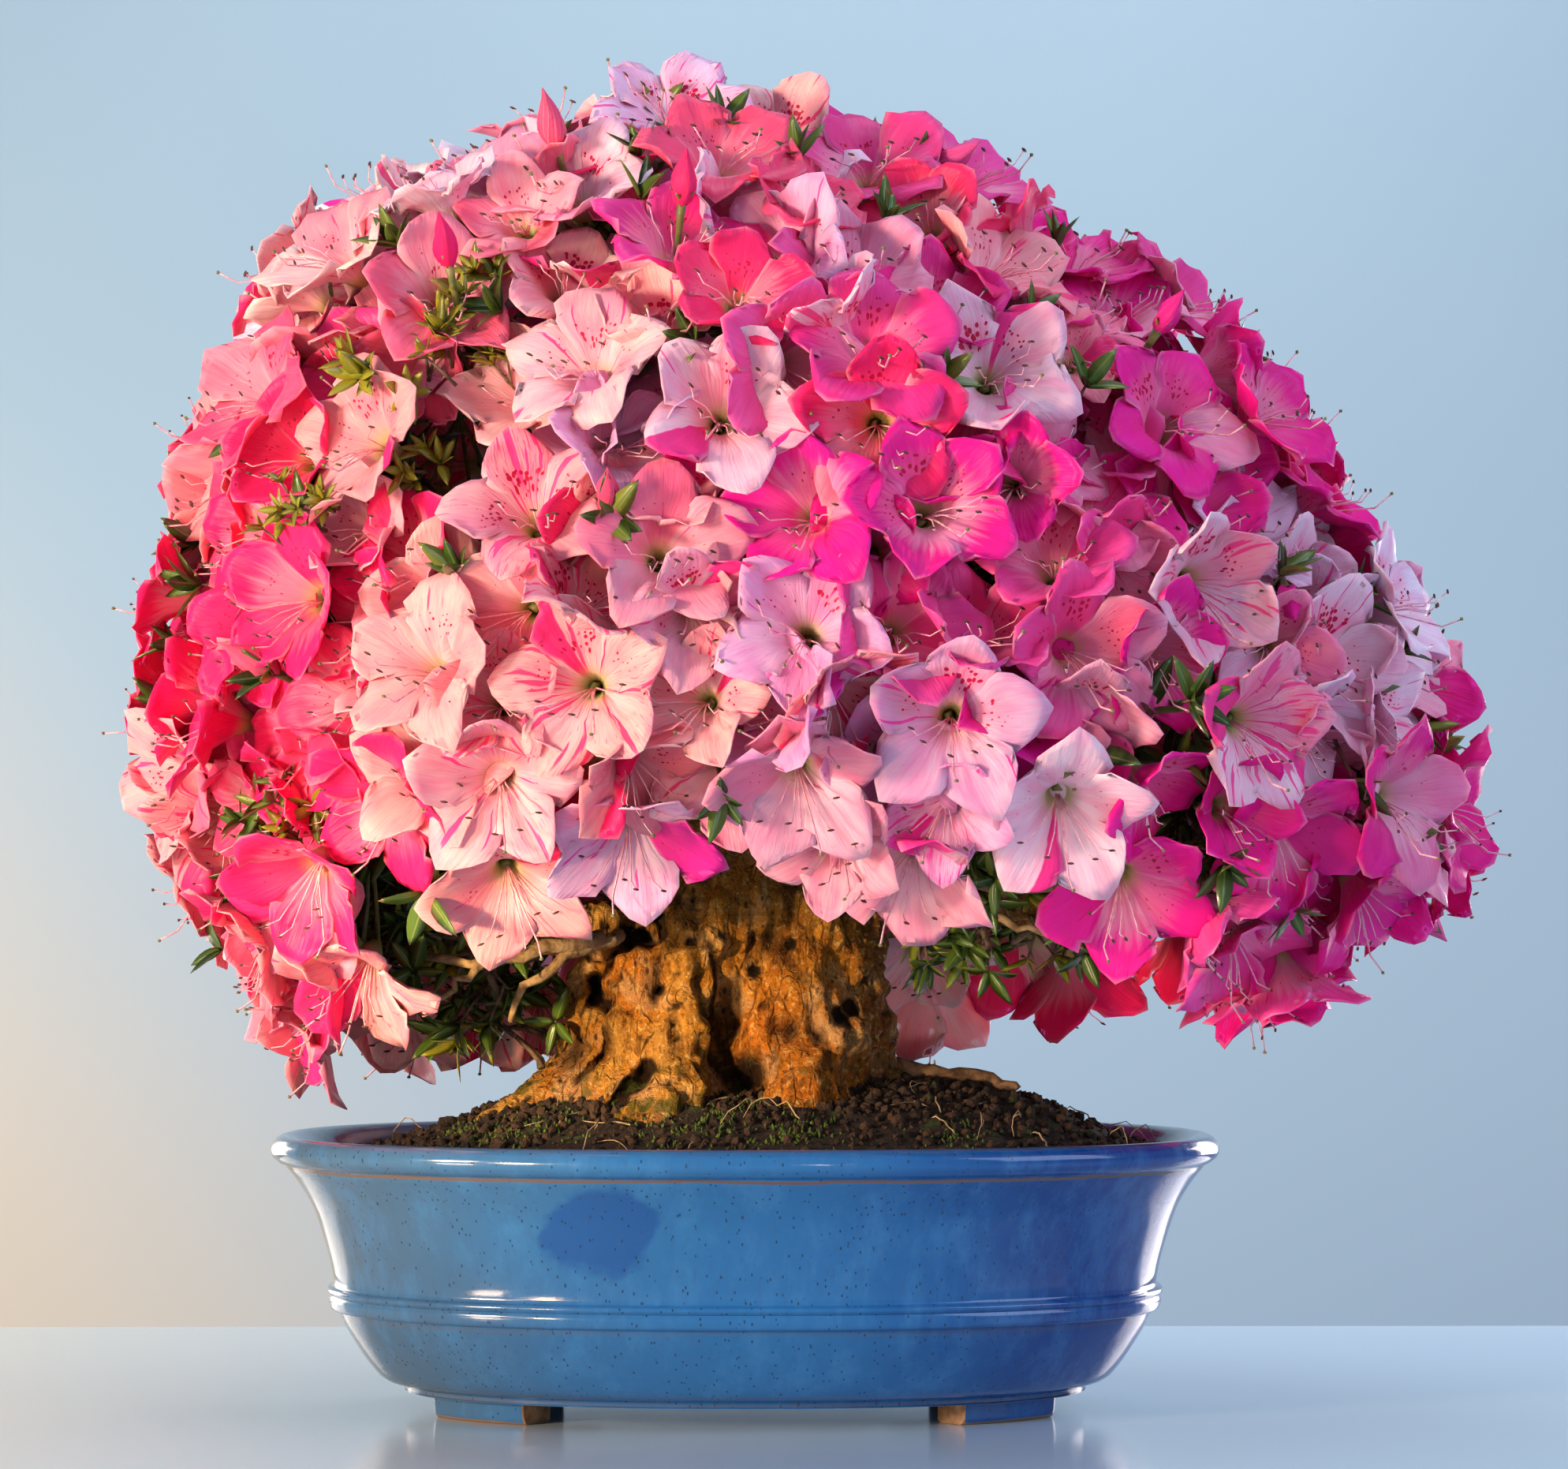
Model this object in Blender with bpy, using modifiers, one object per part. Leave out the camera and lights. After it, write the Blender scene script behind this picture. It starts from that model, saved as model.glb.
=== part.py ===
"""Satsuki azalea bonsai in full bloom, in an oval glazed pot on four feet.

Units are metres, with +Z up and the viewer's side towards -Y. The pot is centred on the
axis while the pieces are made; the finished tree and pot are then moved together so that
the middle of the whole object's footprint is the origin.

The crown is built from the outside in: trumpet blooms on a dome, the short stalks that
gather them in bunches, leafy pads under the bunches, and the limbs that carry the pads.
"""

import math
import random

import bmesh
import bpy
import numpy as np
from mathutils import Matrix, Vector, noise
from mathutils.bvhtree import BVHTree

# Clearance between pieces that touch.
GAP = 0.0003
UP = Vector((0, 0, 1))

# Pot.
POT_LENGTH = 0.400
POT_WIDTH = 0.300
OVAL_POWER = 2.3
OVAL_SEGMENTS = 34
FLOOR_UNDER = 0.009
FLOOR_TOP = 0.016
FLOOR_HALF_LENGTH = 0.118
DRAIN_RADIUS = 0.011
DRAIN_AT = 0.070
FOOT_OUTER = 0.1385
FOOT_INNER = 0.121
FOOT_STARTS_X = 0.084
FOOT_STARTS_Y = 0.036

# Drain screens.
SCREEN_SIDE = 0.034
SCREEN_WIRE = 0.0012
SCREEN_CELLS = 3

# Soil.
SOIL_EDGE_Z = 0.106
SOIL_MOUND = 0.032
SOIL_LUMP = 0.0016

# Crown: the dome through the bloom faces.
CROWN_MID_Z = 0.290
CROWN_HALF_LENGTH = 0.264
CROWN_HALF_DEPTH = 0.228
CROWN_RISE = 0.262
# How far the top leans to the left, and how much further the shoulders below it do.
CROWN_LEAN = 0.030
SHOULDER_LEAN = 0.021
CROWN_OFFSET_X = 0.0165
CROWN_LUMP = 0.008
CROWN_LUMP_SCALE = 2.6
# Where the crown swells out: azimuth and rise in degrees, width in degrees, and height.
CROWN_BULGES = [(-10, -18, 24, 0.030), (172, 14, 16, 0.008)]
SHOULDER_POWER = 1.05
SKIRT_POWER = 0.5
SKIRT_DROP = {"right": 0.145, "front": 0.084, "left": 0.168, "back": 0.160}
SKIRT_ANGLE = math.radians(-52)
DOME_SAMPLES = 7000

# Blooms.
BLOOM_RADIUS = 0.0315
BLOOM_COUNT = 168
BLOOM_THROAT = 0.017
BLOOM_NECK = 0.025
# For each fifth of the rim, turn in degrees, reach and height over the radius: notch, shoulder, tip, shoulder.
BLOOM_RIM = [(-36, 0.60, -0.24), (-21, 0.93, -0.06), (0, 1.04, -0.02), (21, 0.93, -0.06)]
NECK_RADIUS = 0.0032
BLOOM_CLEARANCE = 1.02
STALK_PAST_CENTRE = 0.002
STALK_LEAST = 0.004
# What is tried for each bloom until it misses its neighbours: its size, its height over the dome and its turn.
BLOOM_SIZES = (1.06, 1.0, 0.94, 0.87, 0.79, 0.72, 0.64)
BLOOM_LEVELS = (0.0, 0.006, -0.008, 0.010, -0.016, 0.003, -0.004, 0.008, -0.012)
TURNS_TRIED = 3
BLOOM_TILT = (0.14, 0.14, 0.10)
NEIGHBOUR_REACH = 0.13
BUNCHES = 40
HUB_RADIUS = 0.0075
HUB_DEPTH = 0.050
HUB_FOOTING = 0.7
# The blooms' colours, by places across the crown that each colour is common round.
BLOOM_TONES = {
    "pale": [
        (-0.06, -0.20, 0.26), (0.04, -0.20, 0.28), (-0.15, 0.0, 0.46),
        (-0.03, -0.17, 0.38), (0.17, -0.12, 0.37), (-0.05, 0.20, 0.30),
    ],
    "magenta": [(0.20, 0.0, 0.44), (0.26, -0.08, 0.24), (0.12, -0.12, 0.46), (0.10, 0.20, 0.34)],
    "coral": [(-0.22, -0.10, 0.30), (0.08, -0.20, 0.42), (-0.17, 0.12, 0.30), (0.0, 0.05, 0.50)],
}

# Leafy pads.
PADS = 12
PAD_DEPTH = HUB_DEPTH + HUB_RADIUS + GAP
PAD_THICKNESS = 0.020
PAD_SECTORS = 10
PAD_MARGIN = 0.0045
PAD_REACH = 0.125
PAD_LOWEST = 0.165
PAD_LEAST = 0.018
PAD_STEP = 0.003
PAD_TOP_REACH = 0.60
LEAF_LENGTH = 0.027
LEAF_WIDTH = 0.0095
LEAF_WIDEST = 0.52
LEAF_SPREAD = (0.85, 1.35)
LEAF_CENTRE = 0.0030
WHORL_LEAVES = 4
TWIG_RADIUS = 0.0019
TWIG_SUNK = 0.002
TWIG_BELOW = 0.013
# How far the twigs between the blooms end from the dome's surface, tried in this order.
TWIG_ENDS = (0.006, 0.014, 0.024)
LOWER_WHORLS = 1
OUTER_WHORLS = 3

# Trunk: height, centre x, half-length, half-depth of each section.
TRUNK_SECTIONS = [
    (0.104, -0.006, 0.060, 0.056),
    (0.122, -0.010, 0.080, 0.066),
    (0.134, -0.010, 0.071, 0.060),
    (0.150, -0.009, 0.065, 0.056),
    (0.172, -0.009, 0.064, 0.054),
    (0.190, -0.006, 0.061, 0.051),
    (0.208, 0.002, 0.055, 0.047),
    (0.228, 0.008, 0.047, 0.042),
    (0.252, 0.009, 0.040, 0.036),
    (0.290, 0.004, 0.031, 0.029),
    (0.335, -0.002, 0.022, 0.021),
    (0.385, -0.008, 0.014, 0.014),
    (0.430, -0.012, 0.009, 0.009),
]
TRUNK_SIDES = 24
ROOT_TOP_Z = 0.168
ROOT_FLARE = 0.036
# Direction in degrees, angular width in degrees and strength of each surface root.
ROOTS = [(188, 17, 1.0), (-108, 15, 0.62), (-52, 14, 0.35), (8, 17, 1.0), (62, 16, 0.8), (128, 18, 0.9)]
CLEFT_DIRECTION = math.radians(-86)
CLEFT_WIDTH = math.radians(13)
CLEFT_DEPTH = 0.30
# Centre and radius of each swelling on the bark.
BURLS = [(-0.049, -0.008, 0.182, 0.026), (-0.036, -0.024, 0.160, 0.028), (0.034, 0.016, 0.172, 0.026)]

LIMB_POINTS = 5
LIMB_LOWEST = 0.200
LIMB_HIGHEST = 0.425
LIMB_THICKEST = 0.0140
LIMB_THINNEST = 0.0085
LIMB_TAPER = 0.8
LIMB_WAVE = 0.010
# Where a pad is in a limb's way: how much higher it may start, and how far it may arch up, tried in this order.
LIMB_SHIFTS = (0.0, -0.03, 0.03, -0.06, 0.06)
LIMB_ARCHES = (-0.006, 0.015, 0.035, 0.055)
TWIG_TIP = 0.0016
# Limbs that show below the crown, by the points they pass through.
LEFT_LIMB = [(-0.030, -0.020, 0.204), (-0.080, -0.034, 0.201), (-0.108, -0.038, 0.198)]
RIGHT_LIMB = [(0.030, -0.018, 0.224), (0.085, -0.028, 0.217), (0.122, -0.030, 0.210)]
FORK_REACH = 0.12

BURL_STRETCH = 1.35

SEED = 41


def unit_noise(point, scale, offset=0.0):
    """Smooth noise from -1 to 1 at a point."""
    return noise.noise(Vector(point) * scale + Vector((offset, 3.1 * offset, 7.7)))


def smoothstep(low, high, value):
    t = min(1.0, max(0.0, (value - low) / (high - low)))
    return t * t * (3 - 2 * t)


def material(name, colour, roughness, metallic=0.0):
    made = bpy.data.materials.new(name)
    made.use_nodes = True
    shader = made.node_tree.nodes["Principled BSDF"]
    shader.inputs["Base Color"].default_value = (*colour, 1.0)
    shader.inputs["Roughness"].default_value = roughness
    shader.inputs["Metallic"].default_value = metallic
    made.diffuse_color = (*colour, 1.0)
    return made


def add_object(name, mesh, collection, finish=None):
    made = bpy.data.objects.new(name, mesh)
    collection.objects.link(made)
    if finish:
        mesh.materials.clear()
        mesh.materials.append(finish)
    return made


def mesh_from(points, faces, name="shape"):
    mesh = bpy.data.meshes.new(name)
    mesh.from_pydata([tuple(p) for p in points], [], faces)
    mesh.update()
    return mesh


def evaluated_mesh(obj):
    graph = bpy.context.evaluated_depsgraph_get()
    return bpy.data.meshes.new_from_object(obj.evaluated_get(graph))


def apply_boolean(obj, cutters, operation, solver="MANIFOLD"):
    """Joins or cuts obj by every object in cutters at once, then removes them."""
    group = bpy.data.collections.new("boolean operands")
    bpy.context.scene.collection.children.link(group)
    for cutter in cutters:
        for owner in list(cutter.users_collection):
            owner.objects.unlink(cutter)
        group.objects.link(cutter)
    modifier = obj.modifiers.new("join or cut", "BOOLEAN")
    modifier.operand_type = "COLLECTION"
    modifier.collection = group
    modifier.operation = operation
    modifier.solver = solver
    bpy.context.view_layer.update()
    made = evaluated_mesh(obj)
    obj.modifiers.clear()
    obj.data = made
    for cutter in list(group.objects):
        bpy.data.objects.remove(cutter)
    bpy.data.collections.remove(group)


def oval_point(half_length, half_width, angle):
    c, s = math.cos(angle), math.sin(angle)
    x = math.copysign(abs(c) ** (2 / OVAL_POWER), c) * half_length
    y = math.copysign(abs(s) ** (2 / OVAL_POWER), s) * half_width
    return x, y


def half_width_for(half_length):
    """The pot's outlines keep one distance from each other, down to the flat floor."""
    narrower = (POT_LENGTH - POT_WIDTH) / 2
    return half_length - narrower * min(1.0, half_length / FLOOR_HALF_LENGTH)


def oval_turned(name, profile, closed=False):
    """A profile of (half-length, height) turned round, then drawn out to the pot's oval."""
    mesh = bpy.data.meshes.new(name)
    count = len(profile)
    edges = [(i, i + 1) for i in range(count - 1)]
    if closed:
        edges.append((count - 1, 0))
    mesh.from_pydata([(r, 0, z) for r, z in profile], edges, [])
    obj = bpy.data.objects.new(name, mesh)
    bpy.context.scene.collection.objects.link(obj)
    screw = obj.modifiers.new("turn", "SCREW")
    screw.steps = OVAL_SEGMENTS
    screw.render_steps = OVAL_SEGMENTS
    screw.use_merge_vertices = True
    screw.merge_threshold = 0.0001
    bpy.context.view_layer.update()
    turned = evaluated_mesh(obj)
    bpy.data.objects.remove(obj)
    for vertex in turned.vertices:
        radius = math.hypot(vertex.co.x, vertex.co.y)
        if radius > 1e-6:
            angle = math.atan2(vertex.co.y, vertex.co.x)
            x, y = oval_point(radius, half_width_for(radius), angle)
            vertex.co.x, vertex.co.y = x, y
    turned.update()
    return turned


def box(name, low, high):
    bm = bmesh.new()
    bmesh.ops.create_cube(bm, size=1.0)
    low, high = Vector(low), Vector(high)
    for vertex in bm.verts:
        share = vertex.co + Vector((0.5, 0.5, 0.5))
        vertex.co = Vector(low[i] + (high[i] - low[i]) * share[i] for i in range(3))
    mesh = bpy.data.meshes.new(name)
    bm.to_mesh(mesh)
    bm.free()
    return add_object(name, mesh, bpy.context.scene.collection)


INNER_WALL = [
    (0.1380, 0.0185),
    (0.1520, 0.0320),
    (0.1620, 0.0560),
    (0.1690, 0.0850),
    (0.1835, 0.1075),
]


def pot_profile():
    """Half-length and height from the floor's centre, up the inside, over the lip and down the outside."""
    floor = [(0.0, FLOOR_TOP), (FLOOR_HALF_LENGTH, FLOOR_TOP)]
    lip = [(0.1905, 0.1146), (0.1965, 0.1146), (POT_LENGTH / 2, 0.1100), (0.1985, 0.1056), (0.1940, 0.1034)]
    wall = [(0.1878, 0.0965), (0.1800, 0.0805), (0.1745, 0.0640), (0.1732, 0.0545)]
    belt = [(0.1752, 0.0515), (0.1750, 0.0466), (0.1706, 0.0424)]
    base = [(0.1640, 0.0290), (0.1525, 0.0138), (0.1415, FLOOR_UNDER - 0.0004)]
    under = [(FLOOR_HALF_LENGTH, FLOOR_UNDER), (0.0, FLOOR_UNDER)]
    return floor + INNER_WALL + lip + wall + belt + base + under


def feet():
    """A ring under the pot's edge, cut away in the middle of each side to leave four corner feet."""
    top = FLOOR_UNDER + 0.0030
    profile = [
        (FOOT_INNER, top),
        (FOOT_OUTER + 0.0010, top),
        (FOOT_OUTER, 0.0016),
        (FOOT_OUTER - 0.0014, 0.0),
        (FOOT_INNER, 0.0),
    ]
    ring = add_object("feet", oval_turned("feet", profile, closed=True), bpy.context.scene.collection)
    low, high = -0.01, 0.03
    long_cut = box("gap between the side feet", (-POT_LENGTH, -FOOT_STARTS_Y, low), (POT_LENGTH, FOOT_STARTS_Y, high))
    cross_cut = box("gap between the front feet", (-FOOT_STARTS_X, -POT_WIDTH, low), (FOOT_STARTS_X, POT_WIDTH, high))
    apply_boolean(ring, [long_cut, cross_cut], "DIFFERENCE")
    return ring


def drain_cutter(x):
    bm = bmesh.new()
    bmesh.ops.create_cone(bm, cap_ends=True, segments=16, radius1=DRAIN_RADIUS, radius2=DRAIN_RADIUS, depth=0.04)
    bmesh.ops.translate(bm, verts=bm.verts, vec=(x, 0, FLOOR_TOP))
    mesh = bpy.data.meshes.new("drain")
    bm.to_mesh(mesh)
    bm.free()
    return add_object("drain", mesh, bpy.context.scene.collection)


def build_pot(collection, finish):
    pot = add_object("pot", oval_turned("pot", pot_profile()), collection, finish)
    apply_boolean(pot, [feet()], "UNION")
    apply_boolean(pot, [drain_cutter(-DRAIN_AT), drain_cutter(DRAIN_AT)], "DIFFERENCE")
    pot.data.materials.clear()
    pot.data.materials.append(finish)
    pot.data.shade_smooth()
    pot.data.set_sharp_from_angle(angle=math.radians(40))
    return pot


def build_screen(name, x, collection, finish):
    """A square of plastic mesh that keeps the soil in, lying on the floor over a drain hole."""
    bm = bmesh.new()
    bmesh.ops.create_grid(bm, x_segments=SCREEN_CELLS, y_segments=SCREEN_CELLS, size=SCREEN_SIDE / 2)
    mesh = bpy.data.meshes.new(name)
    bm.to_mesh(mesh)
    bm.free()
    screen = add_object(name, mesh, collection, finish)
    wires = screen.modifiers.new("wires", "WIREFRAME")
    wires.thickness = SCREEN_WIRE
    wires.use_even_offset = False
    wires.use_boundary = True
    wires.use_replace = True
    bpy.context.view_layer.update()
    screen.data = evaluated_mesh(screen)
    screen.modifiers.clear()
    lowest = min(v.co.z for v in screen.data.vertices)
    screen.location = (x, 0, FLOOR_TOP + GAP - lowest)
    return screen


def soil_height(x, y):
    """The mound: high round the trunk, highest behind the right-hand root, down to the rim."""
    reach = max(abs(x) / 0.185, abs(y) / 0.135)
    across = math.hypot(x / 0.185, y / 0.135)
    share = 0.35 * reach + 0.65 * across
    mound = SOIL_MOUND * (1 - smoothstep(0.30, 0.98, share))
    right = 0.009 * math.exp(-(((x - 0.125) / 0.045) ** 2) - ((y - 0.01) / 0.055) ** 2)
    front = 0.006 * smoothstep(-0.01, 0.06, -y) * (1 - smoothstep(0.30, 0.98, share))
    lump = SOIL_LUMP * unit_noise((x, y, 0), 55) * (1 - smoothstep(0.85, 1.0, share))
    return SOIL_EDGE_Z + mound + right - front + lump


def build_soil(collection, finish):
    """Fills the pot: the mound on top, the inner wall's shape down the side, flat on the floor."""
    held_by = [INNER_WALL[k] for k in (3, 2, 0)]
    wall = [(r - GAP - 0.0002, z + GAP) for r, z in held_by]
    rings = 5
    outer = INNER_WALL[-1][0] - 0.0028
    top = [(outer * (i / rings) ** 0.9, 0.11) for i in range(rings + 1)]
    bottom = [(FLOOR_HALF_LENGTH - 0.001, FLOOR_TOP + GAP), (0.0, FLOOR_TOP + GAP)]
    mesh = oval_turned("soil", top + wall + bottom)
    for vertex in mesh.vertices:
        if vertex.co.z > 0.1095:
            vertex.co.z = soil_height(vertex.co.x, vertex.co.y)
    soil = add_object("soil", mesh, collection, finish)
    half = SCREEN_SIDE / 2 + SCREEN_WIRE + 0.0006
    recesses = [
        box("recess", (x - half, -half, 0), (x + half, half, FLOOR_TOP + 2 * SCREEN_WIRE + 0.0006))
        for x in (-DRAIN_AT, DRAIN_AT)
    ]
    socket = add_object("socket", trunk_body(grow=GAP + 0.0002), bpy.context.scene.collection)
    apply_boolean(soil, recesses + [socket], "DIFFERENCE")
    soil.data.materials.clear()
    soil.data.materials.append(finish)
    soil.data.shade_smooth()
    return soil


def angle_between(a, b):
    return (a - b + math.pi) % (2 * math.pi) - math.pi


def trunk_radius_factor(angle, z):
    """How far the trunk's outline stands out of its plain oval: swellings, the cleft and lobes."""
    lobes = 0.05 * math.cos(2 * angle) + 0.03 * math.cos(3 * angle + 0.8)
    swelling = 0.055 * unit_noise((math.cos(angle), math.sin(angle), z * 18), 1.7, 2.0)
    cleft = math.exp(-((angle_between(angle, CLEFT_DIRECTION + (z - 0.13) * 1.2) / CLEFT_WIDTH) ** 2))
    open_height = 1 - smoothstep(0.170, 0.245, z)
    back = math.exp(-((angle_between(angle, math.radians(100)) / CLEFT_WIDTH) ** 2))
    return 1 + lobes + swelling - (CLEFT_DEPTH * cleft + 0.16 * back) * open_height


def root_reach(angle, z):
    """How far the surface roots stand out of the trunk's base, in metres."""
    height = 1 - smoothstep(0.112, ROOT_TOP_Z, z)
    spread = sum(
        strength * math.exp(-((angle_between(angle, math.radians(direction)) / math.radians(width)) ** 2))
        for direction, width, strength in ROOTS
    )
    below_soil = smoothstep(0.098, 0.114, z)
    return ROOT_FLARE * spread * height ** 1.6 * below_soil


def trunk_body(grow=0.0):
    """The trunk from the root crown to the apex. grow makes it thicker all round by that much."""
    bm = bmesh.new()
    rings = []
    for z, centre_x, half_x, half_y in TRUNK_SECTIONS:
        ring = []
        for i in range(TRUNK_SIDES):
            angle = 2 * math.pi * i / TRUNK_SIDES
            factor = trunk_radius_factor(angle, z)
            out = root_reach(angle, z) + grow
            x = centre_x + math.cos(angle) * (half_x * factor + out)
            y = math.sin(angle) * (half_y * factor + out)
            ring.append(bm.verts.new((x, y, z - (grow if z == TRUNK_SECTIONS[0][0] else 0))))
        rings.append(ring)
    for low, high in zip(rings, rings[1:]):
        for i in range(TRUNK_SIDES):
            j = (i + 1) % TRUNK_SIDES
            bm.faces.new((low[i], low[j], high[j], high[i]))
    bm.faces.new(list(reversed(rings[0])))
    bm.faces.new(rings[-1])
    bmesh.ops.triangulate(bm, faces=bm.faces)
    mesh = bpy.data.meshes.new("trunk")
    bm.to_mesh(mesh)
    bm.free()
    return mesh


def burl(centre_x, centre_y, centre_z, radius):
    bm = bmesh.new()
    bmesh.ops.create_icosphere(bm, subdivisions=1, radius=radius)
    bmesh.ops.scale(bm, verts=bm.verts, vec=(1, 1, BURL_STRETCH))
    bmesh.ops.translate(bm, verts=bm.verts, vec=(centre_x, centre_y, centre_z))
    mesh = bpy.data.meshes.new("burl")
    bm.to_mesh(mesh)
    bm.free()
    return add_object("burl", mesh, bpy.context.scene.collection)


def tapered_branch(points, radii, sides=6):
    """A branch along points, as a closed mesh."""
    curve = bpy.data.curves.new("branch", "CURVE")
    curve.dimensions = "3D"
    curve.bevel_depth = 1.0
    curve.bevel_resolution = (sides - 4) // 2
    curve.use_fill_caps = True
    spline = curve.splines.new("POLY")
    spline.points.add(len(points) - 1)
    for point, place, radius in zip(spline.points, points, radii):
        point.co = (*place, 1)
        point.radius = radius
    obj = bpy.data.objects.new("branch", curve)
    bpy.context.scene.collection.objects.link(obj)
    bpy.context.view_layer.update()
    mesh = evaluated_mesh(obj)
    bpy.data.objects.remove(obj)
    bm = bmesh.new()
    bm.from_mesh(mesh)
    bmesh.ops.remove_doubles(bm, verts=bm.verts, dist=1e-6)
    bmesh.ops.recalc_face_normals(bm, faces=bm.faces)
    bm.to_mesh(mesh)
    bm.free()
    return add_object("branch", mesh, bpy.context.scene.collection)


def skirt_drop(azimuth):
    """How far the crown hangs below its widest height, towards each side."""
    c, s = math.cos(azimuth), math.sin(azimuth)
    along = SKIRT_DROP["right"] if c > 0 else SKIRT_DROP["left"]
    across = SKIRT_DROP["back"] if s > 0 else SKIRT_DROP["front"]
    return along * c * c + across * s * s


def crown_point(azimuth, rise):
    """The dome's surface. rise is the angle above its widest height."""
    if rise >= 0:
        reach = max(0.0, math.cos(rise)) ** SHOULDER_POWER
        z = CROWN_MID_Z + CROWN_RISE * math.sin(rise)
        height = math.sin(rise) ** 2
        shoulder = 27 / 4 * height ** 2 * (1 - height)
        centre = CROWN_OFFSET_X - CROWN_LEAN * height - SHOULDER_LEAN * shoulder
    else:
        reach = math.cos(rise) ** SKIRT_POWER
        z = CROWN_MID_Z + skirt_drop(azimuth) * math.sin(rise)
        centre = CROWN_OFFSET_X
    x = reach * CROWN_HALF_LENGTH * math.cos(azimuth)
    y = reach * CROWN_HALF_DEPTH * math.sin(azimuth)
    outward = Vector((x / CROWN_HALF_LENGTH, y / CROWN_HALF_DEPTH, math.sin(rise)))
    lump = CROWN_LUMP * unit_noise(outward, CROWN_LUMP_SCALE, 5.0)
    for bulge_azimuth, bulge_rise, width, height in CROWN_BULGES:
        turned = math.degrees(angle_between(azimuth, math.radians(bulge_azimuth))) * math.cos(rise)
        risen = math.degrees(rise) - bulge_rise
        lump += height * math.exp(-(turned ** 2 + risen ** 2) / width ** 2)
    return Vector((centre + x, y, z)) + outward.normalized() * lump


class Dome:
    """The crown's surface as a mesh that can be asked for its nearest point and outward direction."""

    AROUND = 72
    RISES = 44

    def __init__(self):
        points = []
        lowest, highest = SKIRT_ANGLE * 1.15, math.pi / 2 - 0.002
        for j in range(self.RISES + 1):
            rise = lowest + (highest - lowest) * j / self.RISES
            points += [crown_point(2 * math.pi * i / self.AROUND, rise) for i in range(self.AROUND)]
        faces = [
            (j * self.AROUND + i, j * self.AROUND + (i + 1) % self.AROUND,
             (j + 1) * self.AROUND + (i + 1) % self.AROUND, (j + 1) * self.AROUND + i)
            for j in range(self.RISES) for i in range(self.AROUND)
        ]
        self.tree = tree_of(points, faces)

    def nearest(self, point):
        """The dome's nearest point, and the direction straight out of the dome there."""
        place, normal, _, _ = self.tree.find_nearest(point)
        middle = Vector((CROWN_OFFSET_X, 0, CROWN_MID_Z))
        if normal.dot(place - middle) < 0:
            normal = -normal
        return place, normal

    def samples(self, count):
        """Random places on the dome, evenly spread over its area."""
        draw = random.Random(SEED)
        kept = []
        step = 0.01
        while len(kept) < count:
            azimuth = draw.uniform(0, 2 * math.pi)
            rise = draw.uniform(SKIRT_ANGLE, math.pi / 2)
            along = crown_point(azimuth + step, rise) - crown_point(azimuth - step, rise)
            up = crown_point(azimuth, rise + step) - crown_point(azimuth, rise - step)
            area = along.cross(up).length / (4 * step * step)
            if draw.random() * 1.4 * CROWN_HALF_LENGTH * CROWN_RISE < area:
                kept.append(crown_point(azimuth, rise))
        return kept


def tree_of(points, faces):
    return BVHTree.FromPolygons([tuple(p) for p in points], faces)


def spread_out(points, count):
    """Indices of count points, each the furthest from those already picked."""
    points = np.array([tuple(p) for p in points])
    picked = [int(np.argmax(points[:, 2]))]
    distance = np.linalg.norm(points - points[picked[0]], axis=1)
    while len(picked) < count:
        picked.append(int(np.argmax(distance)))
        distance = np.minimum(distance, np.linalg.norm(points - points[picked[-1]], axis=1))
    return picked


def grouped(points, count, rounds=14):
    """Splits points into count compact groups: each point's group, and each group's middle."""
    places = np.array([tuple(p) for p in points])
    centres = places[spread_out(points, count)]
    for _ in range(rounds):
        group = np.argmin(np.linalg.norm(places[:, None] - centres[None], axis=2), axis=1)
        for g in range(count):
            if (group == g).any():
                centres[g] = places[group == g].mean(axis=0)
    return [int(g) for g in group], [Vector(c) for c in centres]


def axes_along(normal, spin=0.0):
    """A rotation whose Z is the normal, turned about it by spin."""
    return normal.to_track_quat("Z", "Y").to_matrix() @ Matrix.Rotation(spin, 3, "Z")


def bloom_rim(radius):
    """The rim of a five-petalled trumpet: for each petal a notch, a shoulder, the tip, a shoulder."""
    return [
        Vector((math.cos(a) * reach * radius, math.sin(a) * reach * radius, height * radius))
        for petal in range(5)
        for turn, reach, height in BLOOM_RIM
        for a in [math.radians(72 * petal + turn)]
    ]


def bloom_mesh(place, turn, radius, root):
    """A funnel with a petalled rim, narrowing to a neck of three sides and a stalk that ends at root.

    place is the middle of its face and turn its rotation. Gives its points and faces; the stalk's
    three faces come last.
    """
    scale = radius / BLOOM_RADIUS
    back = turn.transposed()
    rim = bloom_rim(radius)
    inward = back @ (root - place)
    lean = math.atan2(inward.y, inward.x)
    corners = [lean + math.radians(120 * k) for k in range(3)]
    neck = [Vector((NECK_RADIUS * math.cos(a), NECK_RADIUS * math.sin(a), -BLOOM_NECK * scale)) for a in corners]
    local = rim + [Vector((0, 0, -BLOOM_THROAT * scale))] + neck
    points = [place + turn @ p for p in local] + [root]
    count = len(rim)
    nearest = [
        min(range(3), key=lambda k: abs(angle_between(math.atan2(p.y, p.x), corners[k])))
        for p in rim
    ]
    faces = [(count, k, (k + 1) % count) for k in range(count)]
    for k in range(count):
        j = (k + 1) % count
        first, second = count + 1 + nearest[k], count + 1 + nearest[j]
        faces.append((j, k, first))
        if first != second:
            faces.append((j, first, second))
    for k in range(3):
        faces.append((count + 1 + (k + 1) % 3, count + 1 + k, count + 4))
    return points, faces


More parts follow.
